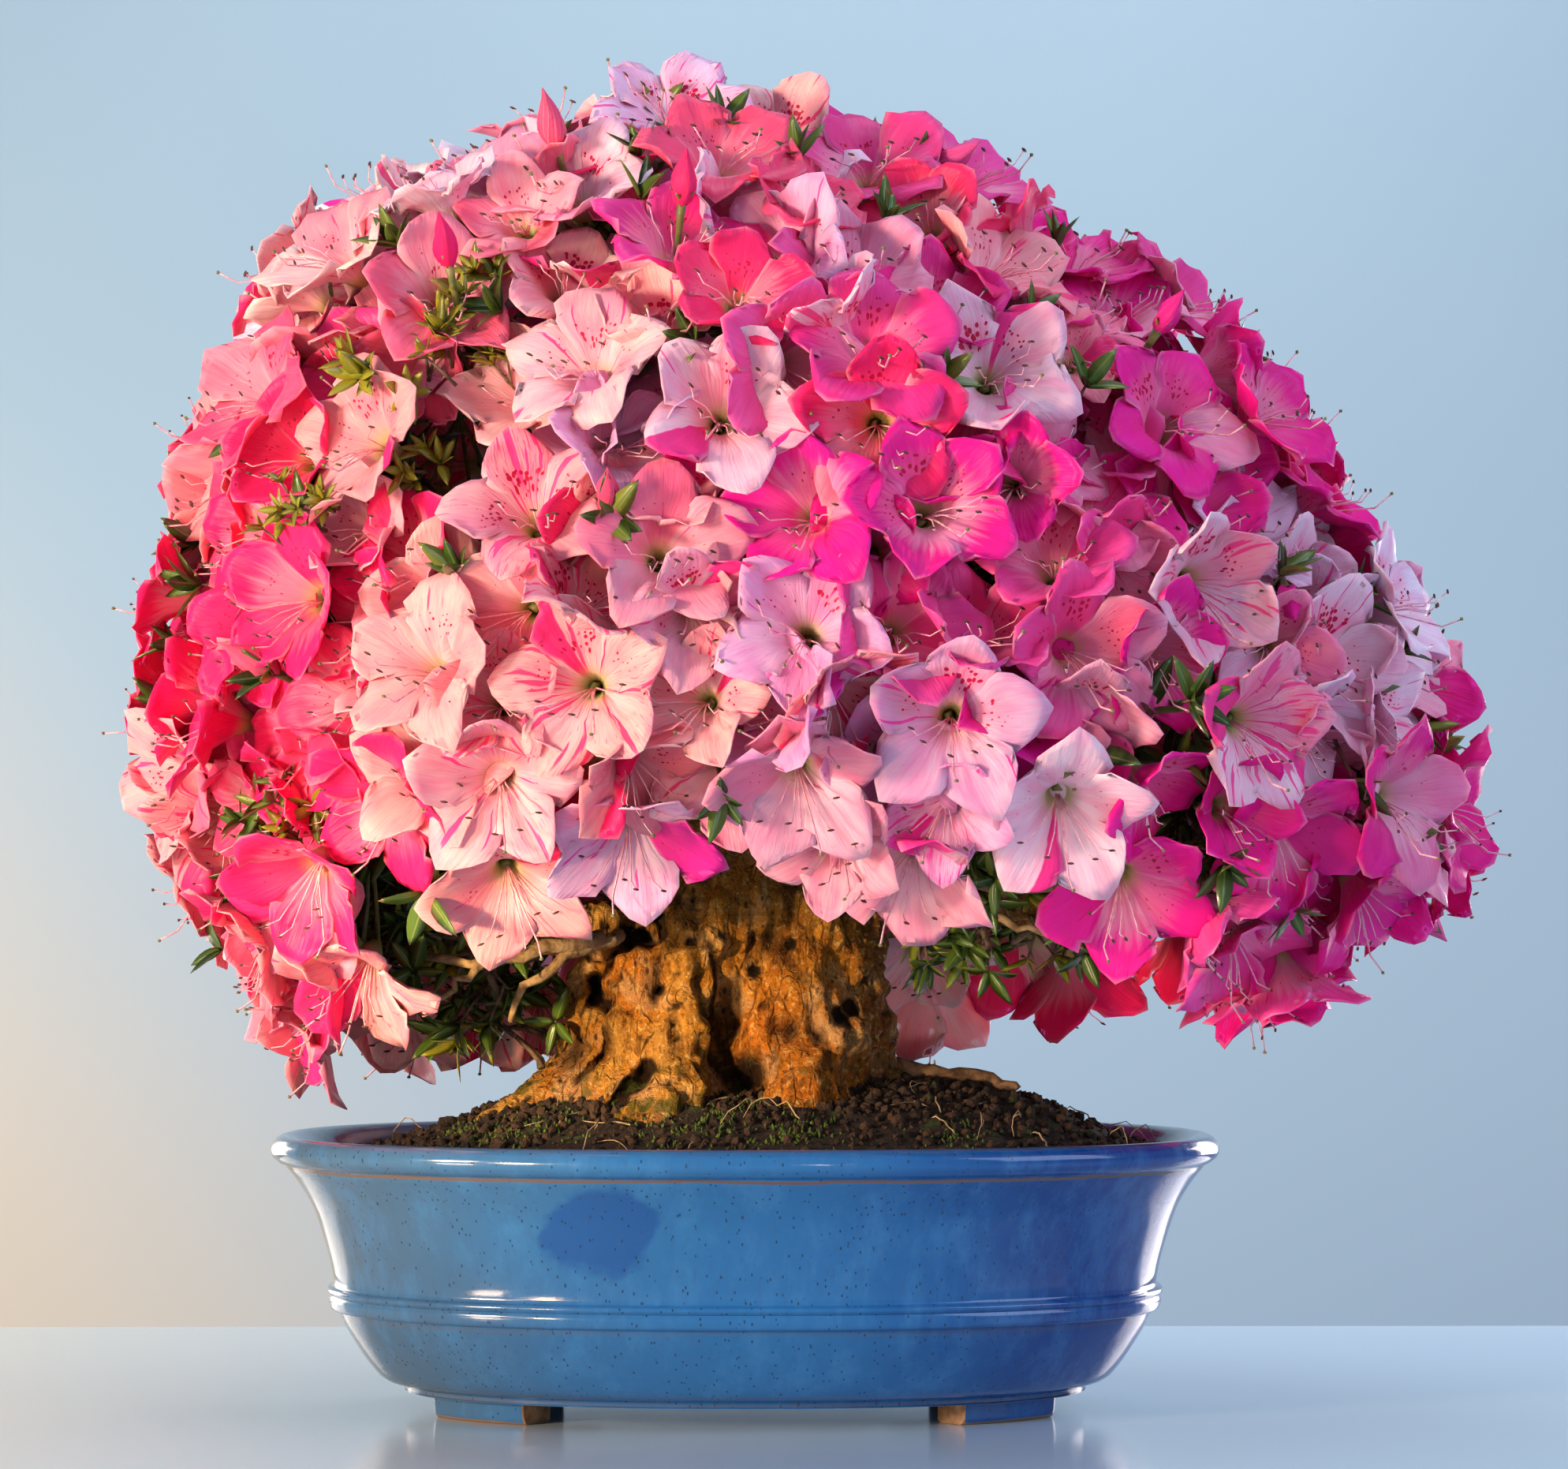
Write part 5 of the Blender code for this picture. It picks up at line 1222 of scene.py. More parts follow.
def bark_finish():
    """Warm tan bark with pale grey flakes, orange patches and moss at the base, with light and shade painted
    in: sunlight low on the right, a lighter top, a darker right side, highlights on the pale flakes, and
    shade in cracks, pits, folds and holes, nearly black in the holes.
    """
    made = Finish("rough bark", 0.8)
    made.shader.inputs["Specular IOR Level"].default_value = 0.16
    place = made.place()
    # How much painted shade the trunk's shape asks for at each point.
    depth = made.attribute("hollow", "Fac")
    lump = made.noise(place, 42, 4.0, 0.62)
    grain = made.noise(place, 340, 6.0, 0.74)
    streak = made.noise(made.scaled(place, (150, 150, 34)), 1.0, 3.0, 0.6)
    made.colour(made.step(lump, 0.36, 0.64), (0.38, 0.118, 0.008), (0.90, 0.390, 0.030))
    made.cover(made.step(streak, 0.50, 0.30, 0.0, 0.5), (0.15, 0.052, 0.010))
    x, _, z = made.split(place)
    patches = made.noise(place, 21, 3.0, 0.6)
    # Orange: partly the bark's own orange patches, partly painted sunlight low on the right of the cleft.
    sunlit_low_right = made.times(made.step(x, MIDDLE.x - 0.016, MIDDLE.x + 0.004), made.step(z, 0.205, 0.150))
    orange_and_sunlit = made.maths("MAXIMUM", sunlit_low_right, made.step(patches, 0.50, 0.66))
    made.cover(made.times(orange_and_sunlit, 0.75), (0.72, 0.205, 0.014))
    left = made.times(made.step(x, MIDDLE.x - 0.010, MIDDLE.x - 0.045), made.step(patches, 0.60, 0.42))
    grey = made.times(made.step(lump, 0.50, 0.62), made.step(patches, 0.44, 0.54))
    made.cover(made.times(left, 0.6), (0.90, 0.50, 0.11))
    made.cover(made.times(grey, 0.55), (0.60, 0.40, 0.21))
    # Painted light: lighter orange patches towards the top, where the crown's shade falls.
    top = made.times(made.step(z, 0.185, 0.240), made.step(patches, 0.30, 0.60))
    made.cover(made.times(top, 0.60), (0.72, 0.350, 0.085))
    # Painted shade: darker brown on the right side, away from the light.
    right = made.step(x, MIDDLE.x + 0.036, MIDDLE.x + 0.060, 0.0, 0.55)
    made.cover(right, (0.17, 0.095, 0.045))
    # Pale golden flakes on the grain, partly the bark's own flakes, partly painted highlight.
    made.cover(made.step(grain, 0.53, 0.62, 0.0, 0.66), (0.98, 0.66, 0.22))
    made.cover(made.step(grain, 0.45, 0.37, 0.0, 0.64), (0.100, 0.030, 0.005))
    # Painted shade: dark lines in the cracks, which the bump presses in.
    cracks = made.cells(made.scaled(place, (1, 1, 0.34)), 170, "Distance", "DISTANCE_TO_EDGE")
    crack = made.times(made.step(cracks, 0.10, 0.02), made.step(streak, 0.40, 0.60))
    made.cover(made.times(crack, 0.60), (0.060, 0.020, 0.006))
    # Painted shade: dark in the small pits that the bump presses in.
    pits = made.cells(made.scaled(place, (1, 1, 0.6)), 230)
    pit = made.times(made.step(pits, 0.30, 0.12), made.step(lump, 0.42, 0.56))
    made.cover(made.times(pit, 0.8), (0.05, 0.02, 0.008))
    # Painted shade: nearly black in the holes, folds, pits and cleft that the hollow attribute marks.
    made.cover(made.step(depth, 0.0, 0.7, 0.0, 0.97), (0.012, 0.006, 0.003))
    moss = made.times(made.step(z, 0.160, 0.128), made.step(made.noise(place, 75, 3.0, 0.6), 0.50, 0.60))
    made.cover(made.times(moss, 0.8), (0.075, 0.095, 0.012))
    made.gloss(made.step(grain, 0.3, 0.7, 0.9, 0.62))
    crust = made.noise(place, 150, 5.0, 0.7)
    height = made.maths("ADD", made.maths("MULTIPLY_ADD", crust, 1.6, grain), made.times(pits, 0.25))
    made.bump(made.maths("MULTIPLY_ADD", crack, -0.35, height), 1.0, 0.0042)
    return made.material


def build_trunk():
    """The CAD trunk with its facets rounded off, then lumps, ridges, pits and holes pushed into its skin."""
    holder = linked("trunk", NODES["trunk"].data.copy())
    remesh = holder.modifiers.new("remesh", "REMESH")
    remesh.mode, remesh.voxel_size, remesh.adaptivity = "VOXEL", TRUNK_DETAIL, 0.0
    smooth = holder.modifiers.new("smooth", "SMOOTH")
    smooth.factor, smooth.iterations = 0.5, 14
    mesh = applied(holder)
    count = len(mesh.vertices)
    normals = [v.normal.copy() for v in mesh.vertices]
    places = [v.co - MIDDLE for v in mesh.vertices]
    marks = [(Vector(place), radius, height) for place, radius, height in OTHER_MARKS]
    skin = BVHTree.FromPolygons([v.co for v in mesh.vertices], [list(f.vertices) for f in mesh.polygons])
    for x, z, radius, height in FRONT_MARKS + groove_marks():
        struck = trunk_front(skin, x, z)
        if struck:
            marks.append((struck - MIDDLE, radius, height))
    pressed = len(OTHER_MARKS)
    hollow = [0.0] * count
    for number in range(count):
        p, normal = places[number], normals[number]
        trunk = smoothstep(0.095, 0.055, math.hypot(p.x, p.y)) * smoothstep(0.30, 0.20, p.z)
        lump = rough((p.x, p.y, p.z * 0.7), LUMPS[0], 3.0) * LUMPS[1]
        lump += rough((p.x, p.y, p.z * 0.8), SMALL_LUMPS[0], 6.0, 2) * SMALL_LUMPS[1]
        ridge = 1 - abs(rough((p.x, p.y, p.z * 0.2), RIDGE_FINENESS, 9.0, 2)) * 2
        cleft = CLEFT_HALF_WIDTH**2 / (CLEFT_HALF_WIDTH**2 + (p.x - cleft_x(p.z)) ** 2)
        cleft = cleft * smoothstep(0.0, -0.03, p.y) * smoothstep(0.225, 0.190, p.z)
        knob = rough(p, KNOBS[0], 5.0, 3) * KNOBS[1]
        knob += rough((p.x, p.y, p.z * 0.6), CRUST[0], 8.0, 2) * CRUST[1]
        cells = noise.voronoi((p * PIT_FINENESS) + Vector((0, 0, 40)))[0]
        pit = -PIT_DEPTH * smoothstep(0.34, 0.16, cells[0]) * smoothstep(0.0, 0.2, rough(p, 22, 31.0))
        deep = 0.0
        moved = (lump + (ridge - 0.6) * RIDGE_HEIGHT) * (0.2 + 0.8 * trunk) + knob * (0.35 + 0.65 * trunk)
        moved += (pit - CLEFT_DEPTH * cleft - RIGHT_SIDE_DEPTH * smoothstep(0.025, 0.060, p.x)) * trunk
        inward = 0.0
        for mark, (place, radius, height) in enumerate(marks):
            gap = (p - place).length / radius
            if gap < 2.2:
                hole = height < 0 and radius < HOLE_RADIUS and mark >= pressed
                fall = math.exp(-(gap**4)) if hole else math.exp(-gap * gap)
                if hole:
                    inward -= height * fall
                else:
                    moved += height * fall
                # A pressed-in mark gets painted shade inside.
                if height < 0:
                    deep = max(deep, fall * min(1.0, -height / FULL_SHADE_DEPTH))
        # Painted shade for the bark: dark in the folds between ridges, in pits and in the cleft, as well as
        # in the marks, kept as the hollow attribute.
        folds = smoothstep(0.20, -0.40, ridge) * 0.5
        deep = max(deep, folds * trunk, -pit / PIT_DEPTH * 0.6, smoothstep(0.55, 1.0, cleft) * 0.65 * trunk)
        hollow[number] = deep
        mesh.vertices[number].co = p + normal * moved + Vector((0, inward, 0)) + MIDDLE
    values = mesh.attributes.new("hollow", "FLOAT", "POINT")
    values.data.foreach_set("value", hollow)
    mesh.materials.clear()
    mesh.materials.append(bark_finish())
    mesh.shade_smooth()
    placed("fine_trunk", mesh, ["trunk"])


# Soil

SOIL_STEPS, SOIL_RINGS, SOIL_EDGE = 150, 44, 0.1812
SOIL_HALF_LENGTH, SOIL_HALF_WIDTH = 0.185, 0.135
SOIL_LOW, SOIL_RISE = 0.106, 0.032
# The soil's sides in the pot: half-length and height of each ring, and the play that they have.
SOIL_SIDES, SIDE_PLAY = [(0.1795, 0.1035), (0.1690, 0.0853), (0.1618, 0.0563), (0.1377, 0.0190)], 0.0008
SOIL_BOTTOM = 0.0190
GRAIN_COUNT, GRAIN_REACH, GRAIN_SIZES = 4700, 0.178, (0.0008, 0.0010, 0.0012, 0.0012, 0.0016, 0.0021)
# Grains under this size are octahedra. Their faces, above and below.
SMALL_GRAIN_SIZE = 0.00152
SMALL_GRAIN = {
    True: [(0, 1, 2), (1, 3, 2), (3, 4, 2), (4, 0, 2)],
    False: [(0, 1, 5), (1, 3, 5), (3, 4, 5), (4, 0, 5)],
}
# Patches of moss on the front: place and size. More lie anywhere.
MOSS_PATCHES = [
    ((0.018, -0.088), 0.020), ((-0.085, -0.060), 0.028), ((-0.030, -0.085), 0.018), ((-0.115, -0.040), 0.020),
]
MORE_MOSS, MOSS_DENSITY, MOSS_HALF = 22, 4200, (0.168, 0.118)
FINE_ROOTS, FINE_ROOT_STEPS, FINE_ROOT_REACH = 46, 7, 0.172


def soil_height(x, y):
    reach = max(abs(x) / SOIL_HALF_LENGTH, abs(y) / SOIL_HALF_WIDTH)
    across = math.hypot(x / SOIL_HALF_LENGTH, y / SOIL_HALF_WIDTH)
    share = 0.35 * reach + 0.65 * across
    mound = 1 - smoothstep(0.30, 0.98, share)
    right = 0.009 * math.exp(-(((x - 0.125) / 0.045) ** 2) - ((y - 0.01) / 0.055) ** 2)
    front = 0.006 * smoothstep(-0.01, 0.06, -y) * mound
    return SOIL_LOW + SOIL_RISE * mound + right - front


def soil_finish():
    made = Finish("dark soil", 0.95)
    place = made.place()
    grain = made.noise(place, 330, 4.0, 0.7)
    made.colour(made.step(grain, 0.35, 0.65), (0.006, 0.004, 0.002), (0.036, 0.018, 0.009))
    tone = made.attribute("tone", "Fac")
    made.cover(made.step(tone, 0.4, 1.0, 0.0, 0.8), (0.062, 0.029, 0.013))
    moss = made.step(made.noise(place, 55, 3.0, 0.6), 0.56, 0.64, 0.0, 0.7)
    made.cover(made.times(moss, made.step(tone, 0.3, 0.1)), (0.035, 0.065, 0.008))
    made.bump(grain, 1.0, 0.0018)
    return made.material


def build_soil():
    """The mound, the grains that lie on it, moss and fine roots."""
    draw = random.Random(11)
    build_mound()
    build_grains(draw)
    build_moss(draw)
    build_fine_roots(draw)


def build_mound():
    points = [(0, 0, soil_height(0, 0))]
    for ring in range(1, SOIL_RINGS + 1):
        share = ring / SOIL_RINGS
        for k in range(SOIL_STEPS):
            x, y = oval_spot(SOIL_EDGE * share, 2 * math.pi * k / SOIL_STEPS)
            lump = rough((x, y, 0), 150, 2.0, 2) * 0.0018 + rough((x, y, 0), 420, 5.0) * 0.0010
            fade = smoothstep(1.0, 0.93, share)
            points.append((x, y, soil_height(x, y) + lump * fade - 0.001 * (1 - fade)))
    for r, z in SOIL_SIDES:
        points += [(*oval_spot(r - SIDE_PLAY, 2 * math.pi * k / SOIL_STEPS), z) for k in range(SOIL_STEPS)]
    points.append((0, 0, SOIL_BOTTOM))
    shape = Shape()
    shape.add([Vector(p) + MIDDLE for p in points], bowl_faces(SOIL_RINGS + len(SOIL_SIDES), SOIL_STEPS))
    shape.piece("fine_soil", [soil_finish()], (), "soil", ["soil"])


def build_grains(draw):
    ball = bmesh.new()
    bmesh.ops.create_icosphere(ball, subdivisions=1, radius=1)
    large = np.array([v.co[:] for v in ball.verts])
    large_faces = [[v.index for v in face.verts] for face in ball.faces]
    ball.free()
    small = np.array([(1, 0, 0), (0, 1, 0), (0, 0, 1), (-1, 0, 0), (0, -1, 0), (0, 0, -1)], float)
    small_faces = [(a, b, c) if up else (a, c, b) for up in (True, False) for a, b, c in SMALL_GRAIN[up]]
    shape = Shape()
    tones = []
    for _ in range(GRAIN_COUNT):
        turn, share = draw.uniform(0, 2 * math.pi), math.sqrt(draw.uniform(0.02, 0.985))
        x, y = oval_spot(GRAIN_REACH * share, turn)
        size = draw.choice(GRAIN_SIZES) * draw.uniform(0.85, 1.25)
        form, faces = (small, small_faces) if size < SMALL_GRAIN_SIZE else (large, large_faces)
        stretch = np.array([draw.uniform(0.8, 1.3) for _ in range(3)])
        bumps = 1 + np.array([draw.uniform(-0.22, 0.22) for _ in form])[:, None]
        spin = np.array(Matrix.Rotation(draw.uniform(0, 6.28), 3, any_way(draw)))
        centre = np.array(Vector((x, y, soil_height(x, y) + size * draw.uniform(0.0, 0.7))) + MIDDLE)
        shape.add((form * bumps * stretch * size) @ spin.T + centre, faces)
        tones += [draw.choice((0.0, 0.35, 0.6, 0.9, 1.0))] * len(form)
    piece = shape.piece("soil_grains", [soil_finish()], (), "soil", (), False)
    piece.data.attributes.new("tone", "FLOAT", "POINT").data.foreach_set("value", tones)


def build_moss(draw):
    patches = list(MOSS_PATCHES)
    for _ in range(MORE_MOSS):
        patches.append(((draw.uniform(-0.15, 0.15), draw.uniform(-0.10, 0.10)), draw.uniform(0.006, 0.016)))
    shape = Shape()
    for (middle_x, middle_y), size in patches:
        for _ in range(int(size * MOSS_DENSITY)):
            x, y = middle_x + draw.gauss(0, size * 0.5), middle_y + draw.gauss(0, size * 0.5)
            if (x / MOSS_HALF[0]) ** 2 + (y / MOSS_HALF[1]) ** 2 > 1:
                continue
            base = Vector((x, y, soil_height(x, y) - 0.0004)) + MIDDLE
            lean = tilted(UP, draw, 0.55)
            tall, wide = draw.uniform(0.0010, 0.0030), draw.uniform(0.0005, 0.0010)
            path = [base, base + lean * tall * 0.6, base + lean * tall]
            shape.add(*tube(path, [wide, wide * 0.9, wide * 0.2], 3))
    green = simple_finish("moss", (0.020, 0.045, 0.006), (0.10, 0.16, 0.015), 400, 0.8)
    shape.piece("moss", [green], (), "soil")


def build_fine_roots(draw):
    """Thin roots that arch over the soil. Every second one is on the front."""
    shape = Shape()
    for number in range(FINE_ROOTS):
        turn, share = draw.uniform(0, 2 * math.pi), math.sqrt(draw.uniform(0.12, 0.92))
        if number % 2:
            turn = draw.uniform(-2.6, -0.5)
        x, y = oval_spot(FINE_ROOT_REACH * share, turn)
        heading = draw.uniform(0, 2 * math.pi)
        lift = draw.choice((0.3, 0.5, 1.0, 2.4))
        path = []
        steps, length = FINE_ROOT_STEPS, draw.uniform(0.012, 0.030)
        for step in range(steps + 1):
            arch = math.sin(math.pi * (step + 0.4) / (steps + 1)) * 0.0045 * lift
            z = soil_height(x, y) - 0.0006 + arch * (0.6 + 0.4 * draw.random())
            path.append(Vector((x, y, z)) + MIDDLE)
            heading += draw.uniform(-0.55, 0.55)
            x, y = x + math.cos(heading) * length / steps, y + math.sin(heading) * length / steps
        thick = draw.uniform(0.00020, 0.00048)
        shape.add(*tube(path, [thick] * 4 + [thick * 0.8] * 3 + [thick * 0.3], 4))
    pale = simple_finish("fine roots", (0.26, 0.16, 0.07), (0.54, 0.40, 0.24), 300, 0.75)
    shape.piece("fine_roots", [pale], (), "bark")


# Leaves and twigs

LEAF_ROWS = 5


def leaf_layout():
    """Faces of a leaf whose rings have a left edge, an upper rib, a right edge and a lower rib."""
    faces = []
    for ring in range(LEAF_ROWS - 1):
        for k in range(4):
            a, b = 1 + ring * 4 + k, 1 + ring * 4 + (k + 1) % 4
            faces.append((a, b, b + 4, a + 4))
    last = 1 + (LEAF_ROWS - 1) * 4
    tip = last + 4
    faces += [(0, 1 + (k + 1) % 4, 1 + k) for k in range(4)]
    faces += [(tip, last + k, last + (k + 1) % 4) for k in range(4)]
    across, along = [0.0], [0.0]
    for ring in range(LEAF_ROWS):
        across += [-1.0, 0.0, 1.0, 0.0]
        along += [(ring + 1) / (LEAF_ROWS + 1)] * 4
    across.append(0.0)
    along.append(1.0)
    corners = np.array([(across[c], along[c]) for face in faces for c in face])
    return faces, corners


LEAF_FACES, LEAF_CORNERS = leaf_layout()


def add_leaf(shape, base, way, face, length, draw, young=False):
    """A pointed leaf from its base, with its upper side towards face."""
    side = way.cross(face).normalized()
    up = side.cross(way).normalized()
    width = length * draw.uniform(0.15, 0.19)
    droop, fold = draw.uniform(-0.05, 0.22), draw.uniform(0.10, 0.45)
    points = [base]
    for ring in range(LEAF_ROWS):
        t = (ring + 1) / (LEAF_ROWS + 1)
        half = width * math.sin(math.pi * t**0.8) ** 0.85
        mid = base + way * (length * t) - up * (droop * length * t * t)
        edge = up * (half * fold)
        points += [mid - side * half + edge, mid + up * 0.00018, mid + side * half + edge, mid - up * 0.00022]
    points.append(base + way * length - up * (droop * length))
    values = np.zeros((len(LEAF_CORNERS), 3))
    values[:, :2] = LEAF_CORNERS
    values[:, 2] = draw.uniform(0, 50) + (YOUNG_SEED if young else 0)
    shape.add(points, LEAF_FACES, 0, values)


def add_whorl(shape, base, outward, draw, leaves=5, size=0.024, spreads=(0.55, 1.35), young=False):
    """A short twig with a ring of leaves at its end."""
    tip = base + outward * draw.uniform(0.006, 0.014)
    shape.add(*tube([base - outward * 0.006, base, tip], [0.0011, 0.0009, 0.0006], 4), 1)
    turn = axes_along(outward, tilted(UP, draw, 0.9))
    start = draw.uniform(0, 2 * math.pi)
    for number in range(leaves):
        around = start + 2 * math.pi * number / leaves + draw.uniform(-0.3, 0.3)
        spread = draw.uniform(*spreads)
        out = math.sin(spread)
        way = turn @ Vector((out * math.cos(around), out * math.sin(around), math.cos(spread)))
        add_leaf(shape, tip, way, outward, size * draw.uniform(0.7, 1.12), draw, young)


def skin_spots(mesh, count, draw):
    """Random places on a mesh, evenly by area, each with the face's normal."""
    faces = [(face.area, face) for face in mesh.polygons]
    total = sum(area for area, _ in faces)
    marks = sorted(draw.uniform(0, total) for _ in range(count))
    spots, passed, number = [], 0.0, 0
    for area, face in faces:
        passed += area
        while number < len(marks) and marks[number] < passed:
            corners = [mesh.vertices[v].co for v in face.vertices]
            a, b = draw.random(), draw.random()
            if a + b > 1:
                a, b = 1 - a, 1 - b
            place = corners[0] + (corners[1] - corners[0]) * a + (corners[2] - corners[0]) * b
            spots.append((place.copy(), face.normal.copy()))
            number += 1
    return spots


WHORLS_PER_PAD, TWIG_EVERY, WHORLS_PER_TUFT = 31, 4, 4
LEAVES_HEART = Vector((0, 0, 0.30))


def build_leaves(gaps):
    """Leaves over each pad of the crown, twigs from the limbs to the pads, and whorls between the blooms."""
    draw = random.Random(23)
    leaf = leaf_finish()
    twig = simple_finish("twigs", (0.06, 0.035, 0.018), (0.24, 0.16, 0.09), 260, 0.75, 0.0008)
    trunk = BVHTree.FromPolygons(
        [v.co for v in NODES["trunk"].data.vertices], [list(f.vertices) for f in NODES["trunk"].data.polygons]
    )
    centre = MIDDLE + LEAVES_HEART
    twigs = Shape()
    for name in sorted(NODES):
        if not name.startswith("foliage_"):
            continue
        shape = Shape()
        spots = skin_spots(NODES[name].data, WHORLS_PER_PAD, draw)
        middle = sum((place for place, _ in spots), Vector()) / len(spots)
        root = trunk.find_nearest(middle)[0]
        for number, (place, normal) in enumerate(spots):
            outward = (normal * 0.5 + (place - centre).normalized() * 0.6 + Vector((0, 0, 0.15))).normalized()
            add_whorl(shape, place, tilted(outward, draw, 0.5), draw, draw.choice((4, 5, 5, 6)))
            if number % TWIG_EVERY == 0:
                aside = Vector((draw.uniform(-1, 1), draw.uniform(-1, 1), draw.uniform(-1, 0.5))) * 0.014
                path = curve_points([root, root.lerp(place, 0.5) + aside, place], 6)
                twigs.add(*tube(path, [0.0026, 0.0022, 0.0019, 0.0016, 0.0014, 0.0012, 0.0009], 5))
        shape.piece("fine_" + name, [leaf, twig], ("leaf",), "leaves", [name])
    twigs.piece("twigs", [twig], (), "bark")
    poking = Shape()
    for place, axis in gaps:
        out = tilted(axis, draw, 0.5)
        start = place - axis * 0.016
        poking.add(*tube([start - axis * 0.02, start], [0.0012, 0.0009], 4), 1)
        add_whorl(poking, start, out, draw, draw.choice((4, 5, 6, 7)), 0.020, (0.25, 1.0))
    for place, size in BRIGHT_TUFTS:
        for _ in range(WHORLS_PER_TUFT):
            spot = MIDDLE + Vector(place) + any_way(draw) * 0.008
            out = ((spot - centre).normalized() + Vector((0, -0.4, 0.3))).normalized()
            add_whorl(poking, spot, tilted(out, draw, 0.6), draw, 6, size, (0.35, 1.2), True)
    poking.piece("leaves_between_blooms", [leaf, twig], ("leaf",), "leaves")
    build_low_leaves(trunk, leaf, twig)


# Tufts of young leaves round the opening in the upper left, each with the length of its leaves.
BRIGHT_TUFTS = [
    ((-0.137, -0.143, 0.415), 0.015), ((-0.122, -0.148, 0.424), 0.014), ((-0.112, -0.138, 0.438), 0.014),
    ((-0.102, -0.128, 0.455), 0.015), ((-0.122, -0.150, 0.380), 0.013), ((-0.162, -0.143, 0.372), 0.010),
    ((-0.177, -0.138, 0.362), 0.010), ((-0.092, -0.140, 0.420), 0.013),
]

# Leafy spaces under the crown: middle, half size and number of whorls.
LOW_LEAVES = [
    ((-0.125, -0.025, 0.205), (0.058, 0.050, 0.030), 88),
    ((-0.104, -0.015, 0.170), (0.028, 0.035, 0.013), 20),
    ((-0.160, -0.090, 0.246), (0.036, 0.040, 0.013), 20),
    ((0.120, -0.075, 0.232), (0.078, 0.055, 0.018), 66),
    ((0.100, -0.020, 0.202), (0.052, 0.040, 0.011), 24),
]


# Bare forks of the lowest limbs that are seen between the leaves: places, and thickness at the start.
LOW_FORKS = [
    ([(-0.050, -0.040, 0.200), (-0.068, -0.058, 0.195), (-0.086, -0.066, 0.183),
      (-0.096, -0.066, 0.163)], 0.0034),
    ([(-0.060, -0.050, 0.198), (-0.084, -0.070, 0.193), (-0.112, -0.078, 0.189),
      (-0.142, -0.070, 0.190)], 0.0036),
    ([(-0.100, -0.075, 0.190), (-0.118, -0.080, 0.180), (-0.132, -0.070, 0.166)], 0.0022),
    ([(0.060, -0.030, 0.215), (0.092, -0.070, 0.222), (0.130, -0.085, 0.219),
      (0.178, -0.080, 0.226)], 0.0044),
    ([(0.090, -0.055, 0.214), (0.116, -0.070, 0.203), (0.140, -0.060, 0.194)], 0.0022),
]


# The root that runs along the soil from the trunk's right.
SURFACE_ROOT = [
    (0.044, 0.000, 0.1470), (0.062, 0.002, 0.1435), (0.080, 0.005, 0.1410), (0.098, 0.004, 0.1395),
    (0.114, 0.001, 0.1350),
]


def build_low_leaves(trunk, leaf, twig):
    """Twigs with leaves that hang from the lowest limbs on both sides of the trunk, in the crown's shade."""
    draw = random.Random(31)
    shape = Shape()
    forks = Shape()
    for places, thick in LOW_FORKS:
        path = [p + MIDDLE + 0.0022 * any_way(draw) for p in curve_points(places, 9)]
        forks.add(*tube(path, [thick * (1 - 0.07 * n) * draw.uniform(0.88, 1.12) for n in range(10)], 8))
    path = [p + MIDDLE + 0.0012 * any_way(draw) for p in curve_points(SURFACE_ROOT, 12)]
    forks.add(*tube(path, [0.0050 * (1 - 0.05 * n) * draw.uniform(0.85, 1.12) for n in range(13)], 9), 1)
    pale = simple_finish("pale limb bark", (0.16, 0.085, 0.030), (0.50, 0.33, 0.15), 190, 0.8, 0.0016)
    dark = simple_finish("dark root bark", (0.050, 0.026, 0.012), (0.26, 0.14, 0.065), 210, 0.85, 0.0016)
    forks.piece("low_forks", [pale, dark], (), "bark")
    for middle, half, count in LOW_LEAVES:
        for number in range(count):
            way = Vector([draw.gauss(0, 1) for _ in range(3)]).normalized() * draw.uniform(0.3, 1) ** 0.5
            spot = MIDDLE + Vector(middle) + Vector([a * b for a, b in zip(way, half)])
            root = trunk.find_nearest(spot)[0]
            hang = Vector((draw.uniform(-1, 1), draw.uniform(-1, 1), draw.uniform(-1, 0.3))) * 0.010
            path = curve_points([root, root.lerp(spot, 0.5) + hang, spot], 5)
            if number % 2 == 0:
                shape.add(*tube(path, [0.0020, 0.0017, 0.0014, 0.0012, 0.0010, 0.0008], 5), 1)
            out = ((spot - root).normalized() + Vector((0, -0.5, -0.1))).normalized()
            size = draw.uniform(0.013, 0.019)
            out = tilted(out, draw, 0.8)
            young = number % 7 == 0
            add_whorl(shape, spot, out, draw, draw.choice((4, 5, 6)), size, (0.4, 1.4), young)
    shape.piece("leaves_under_crown", [leaf, twig], ("leaf",), "leaves")


# Drain screens


def finish_screens():
    """Dark green plastic on the two carried drain screens, with dust and pale scuffs on the mesh."""
    made = Finish("screen plastic", 0.55)
    place = made.place()
    dust = made.noise(place, 90, 4.0, 0.65)
    scuff = made.noise(made.scaled(place, (900, 300, 600)), 1.0, 3.0, 0.7)
    made.colour(made.step(dust, 0.38, 0.68), (0.010, 0.028, 0.018), (0.060, 0.050, 0.032))
    made.cover(made.step(scuff, 0.58, 0.74, 0.0, 0.5), (0.11, 0.16, 0.12))
    made.gloss(made.step(dust, 0.3, 0.7, 0.42, 0.80))
    made.bump(scuff, 0.5, 0.0002)
    for name in sorted(NODES):
        if name.startswith("drain_screen_"):
            for slot in NODES[name].material_slots:
                slot.link = "OBJECT"
                slot.material = made.material


# Stage, light and camera


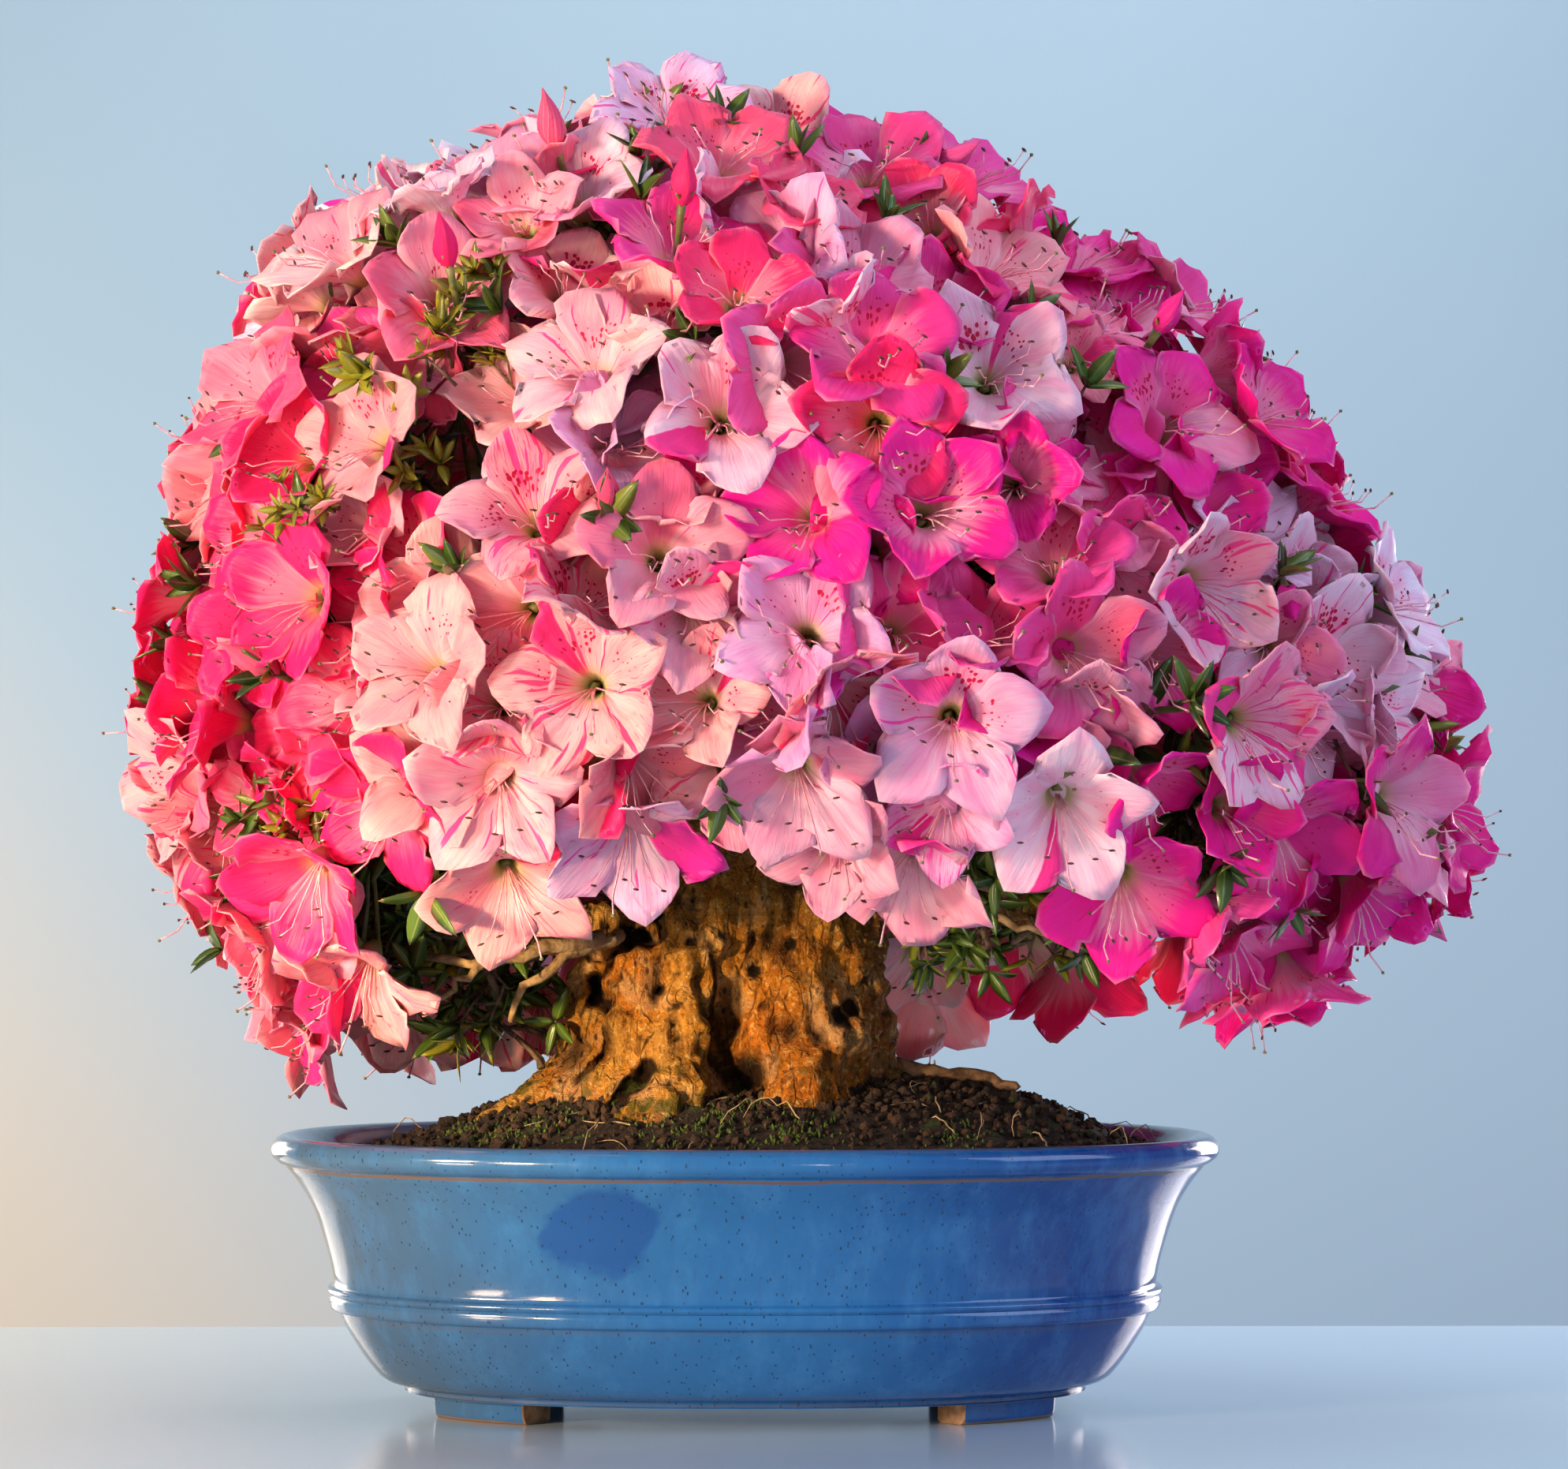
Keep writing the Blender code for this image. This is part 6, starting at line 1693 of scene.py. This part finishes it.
def build_stage():
    """A pale table top and a pale wall behind it, both warmer at the left and cooler at the right, which is
    painted warm light from the left and cool light from the right.
    """
    made = Finish("pale table", 0.14)
    cloud = made.noise(made.place(), 2.5, 3.0)
    # Painted light: warm at the left, where the warm lamp falls, and cool blue at the right.
    cool = made.step(made.split(made.place())[0], -0.45, 0.25)
    made.colour(made.maths("MULTIPLY_ADD", cloud, 0.2, cool), (0.70, 0.67, 0.55), (0.45, 0.61, 0.74))
    table = made.material
    made = Finish("pale wall", 0.9)
    cloud = made.noise(made.place(), 0.8, 3.0)
    x, _, z = made.split(made.place())
    low = made.maths("MULTIPLY_ADD", z, 0.9, x)
    # Painted light: a warm glow on the lower left of the wall.
    warm = made.step(made.maths("MULTIPLY_ADD", cloud, 0.25, low), -0.04, -1.45)
    cool = made.mix(cloud, (0.28, 0.42, 0.55), (0.35, 0.49, 0.61))
    # Painted light: paler blue towards the bottom, which stands in for light that the wall lamp does not
    # bring there.
    cool = made.mix(made.step(z, 1.11, -0.06, 0.0, 0.75), cool, (0.40, 0.55, 0.70))
    made.colour(warm, cool, (0.70, 0.63, 0.52))
    wall = made.material
    for name, corners, finish in (
        ("table_top", [(-3, -2.6, 0), (3, -2.6, 0), (3, 0.41, 0), (-3, 0.36, 0)], table),
        ("wall", [(-7, 4, -3), (7, 4, -3), (7, 4, 6), (-7, 4, 6)], wall),
    ):
        mesh = bpy.data.meshes.new(name)
        mesh.from_pydata([Vector(corner) + MIDDLE for corner in corners], [], [(0, 1, 2, 3)])
        mesh.materials.append(finish)
        stage = linked(name, mesh)


def add_light(name, place, aim, energy, size, colour, kind="AREA"):
    """A lamp that shines from its place to its aim. energy is in watts."""
    lamp = bpy.data.lights.new(name, kind)
    lamp.energy, lamp.color = energy, colour
    if kind == "AREA":
        lamp.size = size
    else:
        lamp.shadow_soft_size = size
    light = linked(name, lamp)
    light.location = Vector(place) + MIDDLE
    light.rotation_euler = (Vector(aim) - Vector(place)).to_track_quat("-Z", "Y").to_euler()
    return lamp


SENSOR_WIDTH, CAMERA_PITCH = 36, 92.13


def build_lights_and_camera():
    """The lamps, a soft sky and the camera."""
    scene = bpy.context.scene
    add_light("warm_key", (-1.75, -1.40, 0.46), (0, 0, 0.25), 58, 0.36, (1.0, 0.75, 0.54))
    add_light("low_sun", (-1.10, -1.60, 0.115), (-0.02, 0, 0.17), 9, 0.18, (1.0, 0.68, 0.38))
    add_light("behind_right", (0.75, 0.85, 0.24), (0.07, 0.16, 0.18), 7, 0.5, (1.0, 0.90, 0.88))
    add_light("behind_left", (-0.80, 0.95, 0.20), (-0.12, 0.06, 0.16), 4, 0.5, (1.0, 0.92, 0.84))
    place, aim = (0.30, -1.60, 0.08), (0.098, 0.08, 0.185)
    side = add_light("behind_beam", place, aim, 62, 0.10, (1.0, 0.86, 0.74), "SPOT")
    side.spot_size, side.spot_blend = math.radians(4.4), 0.8
    place, aim = (-1.15, -1.55, 0.125), (-0.024, 0, 0.180)
    beam = add_light("trunk_beam", place, aim, 255, 0.06, (1.0, 0.68, 0.34), "SPOT")
    beam.spot_size, beam.spot_blend = math.radians(5.9), 0.6
    add_light("cool_fill", (1.8, -1.0, 1.3), (0, 0, 0.3), 22, 1.4, (0.68, 0.76, 1.0))
    add_light("top", (0.1, 0.1, 2.2), (0, 0, 0.3), 14, 1.2, (0.90, 0.92, 1.0))
    add_light("wall_wash", (0.35, 2.0, 2.2), (-0.15, 4.0, -0.15), 64, 2.0, (0.97, 0.92, 0.89))
    add_light("wall_glow", (-1.68, 2.67, 0.69), (-1.01, 4.0, -0.05), 17, 1.0, (1.0, 0.76, 0.48))
    world = bpy.data.worlds.new("soft sky")
    world.use_nodes = True
    world.node_tree.nodes["Background"].inputs["Color"].default_value = (0.62, 0.72, 0.88, 1)
    world.node_tree.nodes["Background"].inputs["Strength"].default_value = 0.42
    scene.world = world
    lens = bpy.data.cameras.new("camera")
    lens.lens, lens.sensor_width = FOCAL_LENGTH / PHOTO_WIDTH * SENSOR_WIDTH, SENSOR_WIDTH
    camera = linked("camera", lens)
    camera.location = MIDDLE + CAMERA_PLACE
    camera.rotation_euler = (math.radians(CAMERA_PITCH), 0, 0)
    scene.camera = camera
    scene.view_settings.view_transform = "Standard"


build_stage()
build_lights_and_camera()
build_pot()
build_trunk()
build_soil()
build_leaves(build_blooms())
finish_screens()
